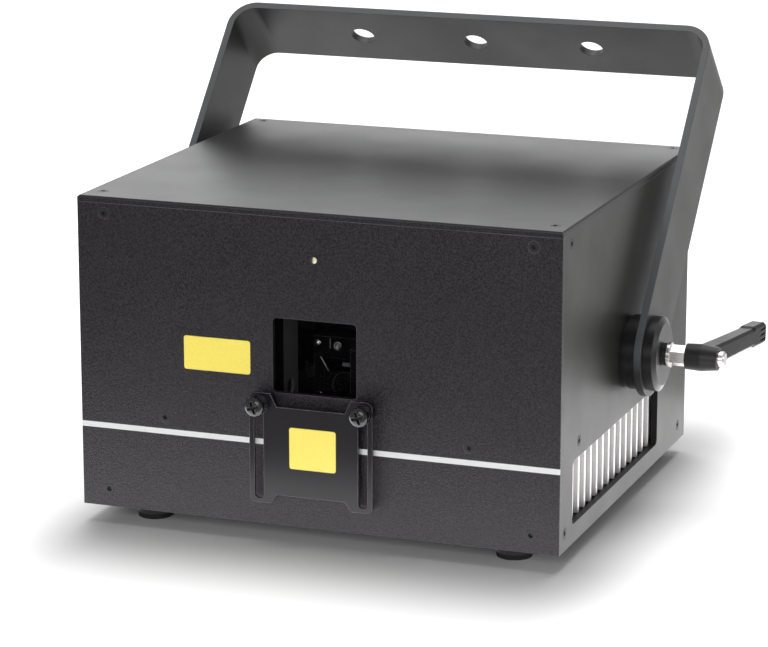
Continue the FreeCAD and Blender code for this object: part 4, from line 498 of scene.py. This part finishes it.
print("metals:", [metal.name for metal in (fin_metal, milled, nickel, zinc_plate, black_steel, silvered)])

# %% [markdown]
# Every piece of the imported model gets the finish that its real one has. No two pieces share a mesh, so a
# finish is simply the one material of a mesh; a table of finishes is easier to read than one call a piece.

# %% Dress the pieces
finish_of = {
    powder: ["rear_panel"],
    satin: ["top_cover", "base_plate", "safety_eye"],
    side_satin: ["left_side_panel", "right_side_panel"],
    bracket_coat: ["mounting_bracket"],
    shutter_coat: ["aperture_shutter"],
    grey_sheet: ["scanner_shroud"],
    moulding: ["pivot_spacers", "pivot_discs", "mains_inlet", "rocker_frame", "power_rocker",
               "interlock_socket", "interlock_plug", "dmx_sockets",
               "menu_button_1", "menu_button_2", "menu_button_3", "menu_button_4"],
    matt: ["fan_frames", "front_fan_rotor", "middle_fan_rotor", "rear_fan_rotor"],
    lever_black: ["left_clamp_lever", "right_clamp_lever"],
    rubber: ["rubber_feet"],
    board_mask: ["driver_boards", "control_board"],
    lamp_lens: ["emission_lamp"],
    screw_black: ["housing_screws"],
    black_oxide: ["shutter_screws", "shutter_spacers"],
    anodised: ["galvo_block", "galvo_motors", "optics_plate"],
    fin_metal: ["heatsink"],
    milled: ["corner_posts", "mirror_mounts", "laser_modules", "power_supply"],
    nickel: ["pivot_washers", "left_lever_insert", "right_lever_insert", "left_lever_screw",
             "right_lever_screw"],
    zinc_plate: ["switch_key", "key_lock", "data_sockets"],
    black_steel: ["foot_screws", "pivot_studs", "pivot_backing_plates"],
    silvered: ["x_scan_mirror", "y_scan_mirror", "combining_mirrors"],
}


def dress(name, material):
    """Makes a material the only one of a piece."""
    mesh = nodes[name].data
    mesh.materials.clear()
    mesh.materials.append(material)


for material, names in finish_of.items():
    for name in names:
        dress(name, material)
print(len(finish_of), "finishes on", sum(len(names) for names in finish_of.values()), "pieces")

# %% [markdown]
# ## Finishes that change across a piece
# The front panel carries a thin pale line from edge to edge. It is printed, so it has no thickness worth
# modelling: a mask on the panel's own coordinates mixes it into the powder coat, on the outer face only.

# %% Front panel with its printed line
PRINT_BLUR = 0.12 * MM
PRINTED_BAND = (BODY_LOW + 38.35 * MM, BODY_LOW + 41.0 * MM)
OUTER_SKIN = (FRONT - 0.5 * MM, FRONT + 0.3 * MM)
PALE_PRINT = (0.86, 0.87, 0.87)


def along(tree, axis):
    """The place on a piece along one axis of the shared frame."""
    where = add(tree, "ShaderNodeTexCoord").outputs["Object"]
    return add(tree, "ShaderNodeSeparateXYZ", Vector=where).outputs[axis]


def band(tree, value, low, high):
    """One where a value lies between two limits, with soft ends."""
    reach = (high - low) / 2
    away = maths(tree, "ABSOLUTE", maths(tree, "SUBTRACT", value, (low + high) / 2))
    return ramp(tree, away, reach - PRINT_BLUR, reach + PRINT_BLUR, start=1.0, end=0.0, soft=True)


def repaint(material, mask, colour):
    """Mixes a colour over that of a finished material, by a mask in its tree."""
    tree = material.node_tree
    base = tree.nodes["Principled BSDF"].inputs["Base Color"]
    feed(tree, base, between(tree, mask, base.links[0].from_socket, colour))


front_coat = powder.copy()
front_coat.name = "front_powder_coat"
tree = front_coat.node_tree
on_line = band(tree, along(tree, "Z"), *PRINTED_BAND)
on_face = band(tree, along(tree, "Y"), *OUTER_SKIN)
repaint(front_coat, maths(tree, "MULTIPLY", on_line, on_face), PALE_PRINT)
dress("front_panel", front_coat)
print("line printed on", front_coat.name)

# %% [markdown]
# The cover was sprayed flat on its back, so its edges kept the rough grain of the front. Splitting the mesh
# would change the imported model; the direction of the faces tells the steep edges from the smooth top just
# as well.

# %% Cover with rough edges
STEEP_RANGE = (0.6, 0.3)
ROUGH_GRAIN = 1400.0
# The palest of these colours, for the rims of the steep faces, is partly worn coat and partly a painted
# highlight.
ROUGH_DARK, ROUGH_LIGHT, ROUGH_EDGE_WORN_AND_HIGHLIT = (0.003, 0.003, 0.004), (0.032, 0.030, 0.033), (0.10, 0.10, 0.105)


def facing_mask(tree, direction, start, end):
    """Zero to one as a face turns towards a direction or its opposite, between two limits."""
    normal = add(tree, "ShaderNodeTexCoord").outputs["Normal"]
    made = place_group(tree, facing_group, Normal=normal, Direction=direction, Start=start, End=end)
    return made.outputs["Mask"]


tree = satin.node_tree
# The last mix of a coat lays the paler edges, worn coat and painted highlight, over it, so its factor is
# their mask.
smooth_mix = tree.nodes["Principled BSDF"].inputs["Base Color"].links[0].from_node
wear_and_highlight_mask = smooth_mix.inputs["Factor"].links[0].from_socket
where = add(tree, "ShaderNodeTexCoord").outputs["Object"]
fleck = place_group(tree, grain_group, Vector=where, Size=ROUGH_GRAIN).outputs["Fleck"]
rough_colour = between(tree, wear_and_highlight_mask, between(tree, fleck, ROUGH_DARK, ROUGH_LIGHT), ROUGH_EDGE_WORN_AND_HIGHLIT)
repaint(satin, facing_mask(tree, (0, 0, 1), *STEEP_RANGE), rough_colour)
print("rough edges in", satin.name)

# %% [markdown]
# The bracket is cut from sheet steel. Its cut edges are painted greyer than the flat sides, a painted
# highlight where they face the light. It is the same mask as on the cover, along the width of the strip,
# which lies aslant at rest.

# %% Bracket with a painted highlight on its cut edges
BRACKET_TILT = math.radians(42.7)
STRIP_WIDTH = (0, math.cos(BRACKET_TILT), -math.sin(BRACKET_TILT))
CUT_HIGHLIGHT_RANGE = (0.55, 0.8)
CUT_EDGE_HIGHLIGHT = (0.058, 0.060, 0.065)

# Painted highlight: the cut edges are mixed towards a paler grey.
repaint(bracket_coat, facing_mask(bracket_coat.node_tree, STRIP_WIDTH, *CUT_HIGHLIGHT_RANGE), CUT_EDGE_HIGHLIGHT)
print("cut edges in", bracket_coat.name)

# %% [markdown]
# The shroud beside the scanner is grey sheet. Its front part, where the panel's edge shades it, is painted
# near black as a painted shade. It is seen only through the window, so a change of colour along the depth
# is enough.

# %% Shroud with a strip of painted shade
SHADE_STRIP_WIDTH = 11.83 * MM
SHADE_STRIP_BLUR = 0.2 * MM
PAINTED_SHADE_COLOUR = (0.006, 0.006, 0.006)

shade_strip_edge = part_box("scanner_shroud")[0].y + SHADE_STRIP_WIDTH
depth = along(grey_sheet.node_tree, "Y")
in_shade_strip = ramp(grey_sheet.node_tree, depth, shade_strip_edge + SHADE_STRIP_BLUR, shade_strip_edge - SHADE_STRIP_BLUR)
# Painted shade: the front strip of the shroud is mixed to near black.
repaint(grey_sheet, in_shade_strip, PAINTED_SHADE_COLOUR)
print(f"painted_shade to y {shade_strip_edge / MM:.1f} mm")

# %% [markdown]
# The emission lamp is a small clear dome. One half shows the dark cup behind it, the other the pale chip.
# Glass with a cup inside would be lost at this size, so the dome is painted in the two tones.

# %% Lens of the emission lamp
CHIP_EDGE = -0.2 * MM
CHIP_BLUR = 0.5 * MM
DARK_CUP = (0.02, 0.02, 0.02)

across_lens = along(lamp_lens.node_tree, "X")
in_cup = ramp(lamp_lens.node_tree, across_lens, CHIP_EDGE + CHIP_BLUR, CHIP_EDGE - CHIP_BLUR)
repaint(lamp_lens, in_cup, DARK_CUP)
print("two tones in", lamp_lens.name)

# %% [markdown]
# The window pane is a black coat, a third opaque, a painted shade that darkens the scanner behind it, and the
# display a smoked pane. Refracting glass would keep the lamps from the scanner behind it, so both are thin
# see-through coats with a faint gloss.

# %% Window and display panes
PANE_MOTTLE = 60.0
PANE_SHADE = 0.9


def pane(name, colour, alpha, rough, gloss):
    """A thin see-through coat with an uneven polish."""
    material, tree, shader = new_material(name)
    where = add(tree, "ShaderNodeTexCoord").outputs["Object"]
    cloud = place_group(tree, mottle_group, Vector=where, Size=PANE_MOTTLE).outputs["Mask"]
    shade = [PANE_SHADE * value for value in colour]
    feed(tree, shader.inputs["Base Color"], between(tree, cloud, colour, shade))
    feed(tree, shader.inputs["Roughness"], ramp(tree, cloud, start=rough[0], end=rough[1]))
    shader.inputs["Alpha"].default_value = alpha
    shader.inputs["Specular IOR Level"].default_value = gloss
    return material


# The window's black tint is a painted shade over the scanner behind it.
shade_tinted_window = pane("shade_tinted_window", (0.001, 0.001, 0.001), alpha=0.35, rough=(0.02, 0.05), gloss=0.015)
smoked_display = pane("smoked_display", (0.01, 0.012, 0.014), alpha=0.96, rough=(0.06, 0.1), gloss=0.4)
dress("window_glass", shade_tinted_window)
dress("display_window", smoked_display)
print("panes:", shade_tinted_window.name, smoked_display.name)

# %% [markdown]
# ## Screws of the housing
# Countersunk screws with a hex socket hold the panels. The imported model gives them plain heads, because the
# socket is too fine for its solids. Their places could be typed in, but they are read from the packed
# model, one island of its mesh for each screw, so they follow it when a size changes.

# %% Islands of a mesh
TOUCH = 1e-6


def islands(name):
    """The lowest and highest corner of each separate solid of a node."""
    form = bmesh.new()
    form.from_mesh(nodes[name].data)
    bmesh.ops.remove_doubles(form, verts=form.verts, dist=TOUCH)
    left = set(form.verts)
    boxes = []
    while left:
        todo = [left.pop()]
        found = []
        while todo:
            corner = todo.pop()
            found.append(corner.co.copy())
            linked = {edge.other_vert(corner) for edge in corner.link_edges} & left
            left -= linked
            todo.extend(linked)
        low = Vector([min(point[axis] for point in found) for axis in range(3)])
        high = Vector([max(point[axis] for point in found) for axis in range(3)])
        boxes.append((low, high))
    form.free()
    return sorted(boxes, key=lambda box: tuple(round(value, 5) for value in box[0]))


screw_boxes = islands("housing_screws")
print(len(screw_boxes), "housing screws")

# %% [markdown]
# A box doesn't say which way its screw looks. The screws sit flush, so one side of the box lies in an outer
# face of the housing; near a corner two faces are close, and there the length of the screw decides.

# %% Which way a screw looks
LENGTH_SHARE = 0.01


def outward(low, high):
    """The place and direction of a screw's face: the side of its box in an outer face of the housing."""
    faces = [(0, SIDE, high, 1), (0, -SIDE, low, -1), (1, FRONT, low, -1), (1, REAR, high, 1),
             (2, BODY_TOP, high, 1), (2, BODY_LOW, low, -1)]

    def misfit(face):
        """How far a side is from an outer face, less a little for the length of the screw that way."""
        axis, level, side, _ = face
        return abs(side[axis] - level) - LENGTH_SHARE * (high - low)[axis]

    axis, level, _, sign = min(faces, key=misfit)
    place = (low + high) / 2
    place[axis] = level
    facing = Vector((0, 0, 0))
    facing[axis] = sign
    return place, facing


screw_spots = [outward(low, high) for low, high in screw_boxes]
print(sum(facing.y < 0 for _, facing in screw_spots), "of the screws look to the front")

# %% [markdown]
# A Geometry Nodes tree sets a copy of one screw at every point of a mesh. Copies by hand would be as many
# meshes to keep alike; here each point only carries its facing, and the result is turned into one plain
# mesh for the export.

# %% Set out copies at points


def geometry(name, inputs):
    """A tree for a modifier, with named inputs, and its two end nodes."""
    points = ("Geometry", "Geometry", None)
    return new_group("GeometryNodeTree", name, [points] + inputs, [("Geometry", "Geometry")])


def set_out(tree, start, end, piece):
    """Ends a tree: copies of a piece at the points, each with its own Z along the point's facing."""
    facing = add(tree, "GeometryNodeInputNamedAttribute", Name="facing")
    facing.data_type = "FLOAT_VECTOR"
    turn = add(tree, "FunctionNodeAlignRotationToVector", Vector=facing.outputs["Attribute"])
    turn.axis = "Z"
    copies = add(tree, "GeometryNodeInstanceOnPoints", Points=start.outputs["Geometry"], Instance=piece,
                 Rotation=turn.outputs[0])
    whole = add(tree, "GeometryNodeRealizeInstances", Geometry=copies.outputs[0])
    paint = add(tree, "GeometryNodeSetMaterial", Geometry=whole.outputs[0],
                Material=start.outputs["Material"])
    feed(tree, end.inputs["Geometry"], paint.outputs[0])


def scatter(name, tree, spots, **values):
    """Points with a facing, run through a node tree and kept as a plain mesh."""
    mesh = bpy.data.meshes.new(f"{name}_points")
    mesh.from_pydata([tuple(place) for place, _ in spots], [], [])
    facing = mesh.attributes.new("facing", "FLOAT_VECTOR", "POINT")
    for index, (_, direction) in enumerate(spots):
        facing.data[index].vector = direction
    holder = bpy.data.objects.new(f"{name}_points", mesh)
    scene.collection.objects.link(holder)
    modifier = holder.modifiers.new("build", "NODES")
    modifier.node_group = tree
    for item in tree.interface.items_tree:
        if item.in_out == "INPUT" and item.name in values:
            modifier[item.identifier] = values[item.name]
    bpy.context.view_layer.update()
    built = holder.evaluated_get(bpy.context.evaluated_depsgraph_get())
    finished = bpy.data.meshes.new_from_object(built)
    finished.name = name
    bpy.data.objects.remove(holder)
    bpy.data.meshes.remove(mesh)
    piece = bpy.data.objects.new(name, finished)
    scene.collection.objects.link(piece)
    print(name, len(finished.polygons), "faces")
    return piece


print("copy helpers: geometry, set_out, scatter")

# %% [markdown]
# The screw itself is a cone for the head, less a hexagon for the socket, with a cylinder for the shank. Its
# sizes are inputs of the tree, so another screw of the kind would only need other values.

# %% Socket screws of the housing
HEAD_STEPS = 32
SHANK_STEPS = 12
HEX_SIDES = 6
# The middle of the cutting key lies this share of its depth below the face, so it stands out a little.
SOCKET_SINK = -0.45


def shifted(tree, mesh, distance, share):
    """A mesh moved along its own Z by a share of a distance."""
    up = add(tree, "ShaderNodeCombineXYZ", Z=maths(tree, "MULTIPLY", distance, share))
    return add(tree, "GeometryNodeTransform", Geometry=mesh, Translation=up.outputs[0]).outputs[0]


screw_tree, start, end = geometry("socket_screw", [
    ("Head Radius", "Float", 2.8 * MM), ("Head Depth", "Float", 1.6 * MM),
    ("Shank Radius", "Float", 1.5 * MM), ("Shank Length", "Float", 4.4 * MM),
    ("Socket Radius", "Float", 1.25 * MM), ("Socket Depth", "Float", 1.2 * MM),
    ("Material", "Material", None)])
size = start.outputs
head = add(screw_tree, "GeometryNodeMeshCone", Vertices=HEAD_STEPS, Radius_Top=size["Head Radius"],
           Radius_Bottom=size["Shank Radius"], Depth=size["Head Depth"]).outputs["Mesh"]
key = add(screw_tree, "GeometryNodeMeshCylinder", Vertices=HEX_SIDES, Radius=size["Socket Radius"],
          Depth=size["Socket Depth"]).outputs["Mesh"]
shank = add(screw_tree, "GeometryNodeMeshCylinder", Vertices=SHANK_STEPS, Radius=size["Shank Radius"],
            Depth=size["Shank Length"]).outputs["Mesh"]
recess = add(screw_tree, "GeometryNodeMeshBoolean")
recess.operation = "DIFFERENCE"
feed(screw_tree, recess.inputs["Mesh 1"], shifted(screw_tree, head, size["Head Depth"], -1.0))
feed(screw_tree, recess.inputs["Mesh 2"], shifted(screw_tree, key, size["Socket Depth"], SOCKET_SINK))
hung = shifted(screw_tree, shank, size["Shank Length"], -0.5)
joined = add(screw_tree, "GeometryNodeJoinGeometry", Geometry=recess.outputs["Mesh"])
feed(screw_tree, joined.inputs["Geometry"], shifted(screw_tree, hung, size["Head Depth"], -1.0))
set_out(screw_tree, start, end, joined.outputs[0])
socket_screws = scatter("socket_screws", screw_tree, screw_spots, Material=screw_black)
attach(socket_screws, "housing")
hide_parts("housing_screws")

# %% [markdown]
# ## Shutter screws
# Two pan heads with a cross recess hold the shutter. On a lathe such a head is one turned profile, and so
# it is here. Two thin bars sink the cross by a boolean, which keeps its walls sharp; a bump in the material
# would leave the head flat from the side.

# %% Turned pieces and bars


def as_object(name, form, material=None):
    """An object with the mesh of a finished form."""
    mesh = bpy.data.meshes.new(name)
    form.to_mesh(mesh)
    form.free()
    made = bpy.data.objects.new(name, mesh)
    scene.collection.objects.link(made)
    if material:
        mesh.materials.append(material)
    return made


def turned(name, profile, steps):
    """An object turned round Z from corners given as radius and height, in millimetres."""
    form = bmesh.new()
    corners = [form.verts.new((radius * MM, 0, height * MM)) for radius, height in profile]
    edges = [form.edges.new(pair) for pair in zip(corners, corners[1:])]
    bmesh.ops.spin(form, geom=corners + edges, cent=(0, 0, 0), axis=(0, 0, 1), angle=2 * math.pi, steps=steps)
    bmesh.ops.remove_doubles(form, verts=form.verts, dist=TOUCH)
    bmesh.ops.recalc_face_normals(form, faces=form.faces)
    return as_object(name, form)


def bar(name, size, level, turn=0.0):
    """A box of a size, with its middle on Z at a level, in millimetres, and turned round Z."""
    form = bmesh.new()
    bmesh.ops.create_cube(form, size=1.0)
    scale = Matrix.Diagonal((*(value * MM for value in size), 1))
    spot = Matrix.Translation((0, 0, level * MM)) @ Matrix.Rotation(turn, 4, "Z") @ scale
    bmesh.ops.transform(form, matrix=spot, verts=form.verts)
    return as_object(name, form)


print("form helpers: as_object, turned, bar")

# %% Cuts and copies


def cut_away(piece, *cutters):
    """Takes cutters out of a piece and keeps the result as its plain mesh."""
    for cutter in cutters:
        modifier = piece.modifiers.new("cut", "BOOLEAN")
        modifier.object = cutter
        modifier.solver = "EXACT"
    bpy.context.view_layer.update()
    built = piece.evaluated_get(bpy.context.evaluated_depsgraph_get())
    finished = bpy.data.meshes.new_from_object(built)
    piece.modifiers.clear()
    piece.data = finished
    for cutter in cutters:
        bpy.data.objects.remove(cutter)


def sink_cross(piece, size, level, turn):
    """Sinks a cross recess: two bars at right angles."""
    cut_away(piece, *(bar("cross_bar", size, level, turn + quarter) for quarter in (0, math.pi / 2)))


copy_inputs = [("Pattern", "Object", None), ("Material", "Material", None)]
copy_tree, start, end = geometry("set_out_copies", copy_inputs)
pattern_mesh = add(copy_tree, "GeometryNodeObjectInfo", Object=start.outputs["Pattern"]).outputs["Geometry"]
set_out(copy_tree, start, end, pattern_mesh)


def set_copies(name, pattern, spots, material):
    """Copies of a pattern at some places of the housing; the pattern itself is deleted."""
    piece = scatter(name, copy_tree, spots, Pattern=pattern, Material=material)
    bpy.data.objects.remove(pattern)
    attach(piece, "housing")
    return piece


print("tree", copy_tree.name)

# %% Pan heads with a cross recess
PAN_HEIGHT = 3.0
DOME_HEIGHT = 1.8
DOME_FULLNESS = 0.8
DOME_ANGLES = (15, 30, 45, 60, 75, 90)
PAN_RIM = 0.2
PAN_SHANK = 2.0
PAN_STEPS = 40
PAN_CROSS = {"size": (1.25, 6.0, 3.6), "level": -0.2, "turn": math.radians(20)}
TO_FRONT = Vector((0, -1, 0))


def middle_of(box):
    """The middle of a box."""
    return (box[0] + box[1]) / 2


pan_boxes = islands("shutter_screws")
pan_size = (pan_boxes[0][1] - pan_boxes[0][0]) / MM
pan_radius, pan_length = pan_size.x / 2, pan_size.y
pan_profile = [(0, 0)]
for angle in (math.radians(degrees) for degrees in DOME_ANGLES):
    pan_profile.append((pan_radius * math.sin(angle) ** DOME_FULLNESS, -DOME_HEIGHT * (1 - math.cos(angle))))
pan_profile += [(pan_radius, PAN_RIM - PAN_HEIGHT), (pan_radius - PAN_RIM, -PAN_HEIGHT),
                (PAN_SHANK, -PAN_HEIGHT), (PAN_SHANK, -pan_length), (0, -pan_length)]
pan_head = turned("pan_head", pan_profile, PAN_STEPS)
sink_cross(pan_head, **PAN_CROSS)
pan_spots = []
for box in pan_boxes:
    place = middle_of(box)
    place.y = box[0].y
    pan_spots.append((place, TO_FRONT))
pan_heads = set_copies("shutter_pan_heads", pan_head, pan_spots, black_oxide)
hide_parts("shutter_screws")

# %% [markdown]
# ## Scanner clamps
# Behind the window, cap screws pinch the block round its two motors. They sit on the face that looks to the
# window; beside them are a dowel, a domed nut and a slanting wire clip. All are round, so each is a short
# turned profile, set at its place on the block. Their bright plating catches the eye through the window.

# %% Clamp screws, nut, dowel and clip of the scanner
BACK_ARM = 16.0 * MM
CAP_RISE, NUT_RISE, DOWEL_RISE, CLIP_RISE = 2.5, 1.6, 0.6, 0.5
CAP_PLACES = ((12.9, 3.7), (3.3, 28.5))
NUT_PLACE, DOWEL_PLACE, CLIP_PLACE = (2.1, 3.7), (8.7, 0.7), (3.7, 9.9)
DOWEL_LEAN, CLIP_LEAN = (0, 0, 1), (-0.52, 0, 0.85)

block_low, block_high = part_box("galvo_block")
block_wall = block_high.y - BACK_ARM


def on_wall(place, rise, facing=TO_FRONT):
    """A spot before the block's wall, in millimetres from its left edge and its top, and its facing."""
    across, down = place
    spot = Vector((block_low.x + across * MM, block_wall - rise * MM, block_high.z - down * MM))
    return spot, Vector(facing).normalized()


cap_profile = [(0, 0), (2.0, 0), (2.3, -0.3), (2.3, -CAP_RISE), (0, -CAP_RISE)]
key_profile = [(0, -1.4), (1.25, -1.4), (1.25, 0.4), (0, 0.4)]
cap_screw = turned("cap_screw", cap_profile, steps=24)
cut_away(cap_screw, turned("hex_key", key_profile, steps=HEX_SIDES))
cap_spots = [on_wall(place, CAP_RISE) for place in CAP_PLACES]
clamp_screws = set_copies("scanner_clamp_screws", cap_screw, cap_spots, nickel)
nut_profile = [(0, 0), (0.4, -0.05), (1.9, -0.62), (2.2, -0.9), (2.2, -NUT_RISE), (0, -NUT_RISE)]
nut_spot = on_wall(NUT_PLACE, NUT_RISE)
nut = set_copies("scanner_nut", turned("nut", nut_profile, steps=12), [nut_spot], nickel)
dowel_profile = [(0, 0), (0.45, 0), (0.6, -0.2), (0.6, -4.8), (0, -4.8)]
dowel_spot = on_wall(DOWEL_PLACE, DOWEL_RISE, DOWEL_LEAN)
dowel = set_copies("scanner_dowel", turned("dowel", dowel_profile, steps=16), [dowel_spot], nickel)
clip_profile = [(0, 0), (0.4, 0), (0.55, -0.2), (0.55, -7.8), (0.4, -8), (0, -8)]
clip_spot = on_wall(CLIP_PLACE, CLIP_RISE, CLIP_LEAN)
clip = set_copies("scanner_clip", turned("clip", clip_profile, steps=16), [clip_spot], nickel)

# %% [markdown]
# ## Stickers
# Two patches of plain yellow vinyl, one beside the window and one on the shutter. They could be painted on
# by a mask, as the line is, but real vinyl has an edge that catches the light, so they are thin sheets with
# rounded corners. The second one rides on the shutter and moves with it.

# %% Vinyl stickers
STICKER_THICK = 0.12 * MM
STICKER_CORNER = 1.2
PANEL_PATCH = {"left": -65.2, "low": 71.2, "right": -31.8, "high": 87.25}
SHUTTER_PATCH = {"left": -10.5, "low": 29.6, "right": 12.5, "high": 49.4}


def rounded(corners, radius, steps=5):
    """A closed outline with each corner of a polygon rounded."""
    points = []
    for index, corner in enumerate(corners):
        here = Vector(corner)
        before = (Vector(corners[index - 1]) - here).normalized()
        after = (Vector(corners[(index + 1) % len(corners)]) - here).normalized()
        half = before.angle(after) / 2
        middle = here + (before + after).normalized() * radius / math.sin(half)
        first = here + before * radius / math.tan(half) - middle
        last = here + after * radius / math.tan(half) - middle
        for step in range(steps + 1):
            points.append(middle + first.lerp(last, step / steps).normalized() * radius)
    return points


def patch(left, low, right, high):
    """The outline of a rectangular sticker."""
    return rounded([(left, low), (right, low), (right, high), (left, high)], STICKER_CORNER)


def thin_sheet(name, outline, face, thick, material):
    """A thin sheet on a face that looks to the front, or to the rear where thick is negative; the outline
    is in millimetres across and up from the housing's underside."""
    form = bmesh.new()
    back = [form.verts.new((point.x * MM, face, BODY_LOW + point.y * MM)) for point in outline]
    sheet = form.faces.new(back)
    raised = bmesh.ops.extrude_face_region(form, geom=[sheet])["geom"]
    raised_corners = [item for item in raised if isinstance(item, bmesh.types.BMVert)]
    bmesh.ops.translate(form, vec=(0, -thick, 0), verts=raised_corners)
    bmesh.ops.recalc_face_normals(form, faces=form.faces)
    print(name, len(outline), "corners")
    return as_object(name, form, material)


vinyl = coated("yellow_vinyl", dark=(0.95, 0.77, 0.09), light=(0.98, 0.83, 0.125),
               rough=(0.34, 0.46), grain=1500.0, depth=0.03 * MM, bump=0.2, wear_and_highlight=1.0)
shutter_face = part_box("aperture_shutter")[0].y
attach(thin_sheet("panel_sticker", patch(**PANEL_PATCH), FRONT, STICKER_THICK, vinyl), "housing")
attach(thin_sheet("shutter_sticker", patch(**SHUTTER_PATCH), shutter_face, STICKER_THICK, vinyl), "shutter")

# %% [markdown]
# ## Rear fittings
# The flanges of the sockets and of the safety eye are screwed on with small pan heads. They repeat, so the
# tree that set the shutter screws sets them too, at places measured from the middle of each fitting.

# %% Flange screws
SMALL_RISE = 1.6
SMALL_STEPS = 24
SMALL_CROSS = {"size": (0.7, 3.0, 1.6), "level": 0, "turn": 0.3}
DMX_FLANGE, MAINS_FLANGE, EYE_FLANGE = 2.0, 2.5, 3.0
DMX_CORNERS = ((-9.5, 12), (9.5, -12))
MAINS_ENDS = ((-20, 0), (20, 0))
EYE_ENDS = ((-13, 0), (13, 0))
TO_REAR = Vector((0, 1, 0))


def behind(middle, places, level):
    """Spots on the rear, across and up from a middle, at a level behind the rear panel, in millimetres."""
    spots = [(middle.x + across * MM, REAR + level * MM, middle.z + up * MM) for across, up in places]
    return [(Vector(spot), TO_REAR) for spot in spots]


dmx_middles = [middle_of(box) for box in islands("dmx_sockets")]
mains_middle = middle_of(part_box("mains_inlet"))
eye_middle = middle_of(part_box("safety_eye"))
flange_spots = []
for middle in dmx_middles:
    flange_spots += behind(middle, DMX_CORNERS, DMX_FLANGE + SMALL_RISE)
flange_spots += behind(mains_middle, MAINS_ENDS, MAINS_FLANGE + SMALL_RISE)
flange_spots += behind(eye_middle, EYE_ENDS, EYE_FLANGE + SMALL_RISE)
small_profile = [(0, 0), (1.3, -0.1), (2.2, -0.5), (2.6, -1.1), (2.6, -SMALL_RISE), (0, -SMALL_RISE)]
small_head = turned("small_head", small_profile, SMALL_STEPS)
sink_cross(small_head, **SMALL_CROSS)
set_copies("flange_screws", small_head, flange_spots, screw_black)

# %% [markdown]
# The contacts of the mains inlet and of the first DMX socket are bare metal in a black moulding. The solids
# have them in one piece with the moulding, so thin plated sleeves stand over them.

# %% Bare contacts of the mains inlet and the DMX socket
BLADE = (2.06, 4.56, 13.0)
BLADE_TIP = -0.48
BLADE_PLACES = ((0, -2), (-7, 2), (7, 2))
PIN_TIP = 1.02
PIN_RING = 5.2
PIN_PLACES = ((PIN_RING, 0), (0, -PIN_RING), (-PIN_RING, 0))
PIN_PROFILE = [(0, 0), (0.8, 0), (1.22, -0.5), (1.22, -9.0), (0, -9.0)]

blade = bar("blade", BLADE, -BLADE[2] / 2)
set_copies("mains_contacts", blade, behind(mains_middle, BLADE_PLACES, BLADE_TIP), nickel)
pin = turned("pin", PIN_PROFILE, steps=20)
set_copies("dmx_contacts", pin, behind(dmx_middles[0], PIN_PLACES, PIN_TIP), nickel)

# %% [markdown]
# The data sockets have black insulators in their metal shells, one with twenty-five holes, one with the
# pins standing through it. The insulators are thin sheets in the tapered outline of the shell. A drill bit,
# set out by the same tree at every contact, cuts all the holes in one boolean.

# %% Insulators of the data sockets
SHELL_HALF_HEIGHT = 4.5
SHELL_WIDE, SHELL_NARROW = 20, 18
SHELL_CORNER = 2.0
PIN_FLOOR = {"inset": 0.6, "level": 2.0, "thick": 0.1}
HOLE_FACE = {"inset": 0.92, "level": 6.6, "thick": 0.25}
HOLE_PITCH = 2.76
HOLE_ROW = 1.42
DRILL_RADIUS = 0.55 * MM
DRILL_LENGTH = 2.0 * MM
DRILL_STEPS = 14


def insulator(name, middle, inset, level, thick):
    """A sheet in the outline of a data socket, wide side down, drawn in by an inset, in millimetres."""
    across, up = middle.x / MM, (middle.z - BODY_LOW) / MM
    wide, narrow, high = SHELL_WIDE - inset, SHELL_NARROW - inset, SHELL_HALF_HEIGHT - inset
    corners = [(-wide, -high), (wide, -high), (narrow, high), (-narrow, high)]
    outline = rounded([(across + x, up + y) for x, y in corners], SHELL_CORNER - inset)
    return thin_sheet(name, outline, REAR + level * MM, -thick * MM, matt)


pin_middle, hole_middle = (middle_of(box) for box in islands("data_sockets"))
pin_floor = insulator("data_pin_floor", pin_middle, **PIN_FLOOR)
hole_face = insulator("data_hole_face", hole_middle, **HOLE_FACE)
hole_places = [(HOLE_PITCH * step, -HOLE_ROW) for step in range(-6, 7)]
hole_places += [(HOLE_PITCH * (step + 0.5), HOLE_ROW) for step in range(-6, 6)]
drill_form = bmesh.new()
bmesh.ops.create_cone(drill_form, cap_ends=True, segments=DRILL_STEPS,
                      radius1=DRILL_RADIUS, radius2=DRILL_RADIUS, depth=DRILL_LENGTH)
drill = as_object("drill", drill_form)
hole_spots = behind(hole_middle, hole_places, HOLE_FACE["level"])
cut_away(hole_face, scatter("contact_holes", copy_tree, hole_spots, Pattern=drill, Material=matt))
bpy.data.objects.remove(drill)
for sheet in (pin_floor, hole_face):
    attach(sheet, "housing")
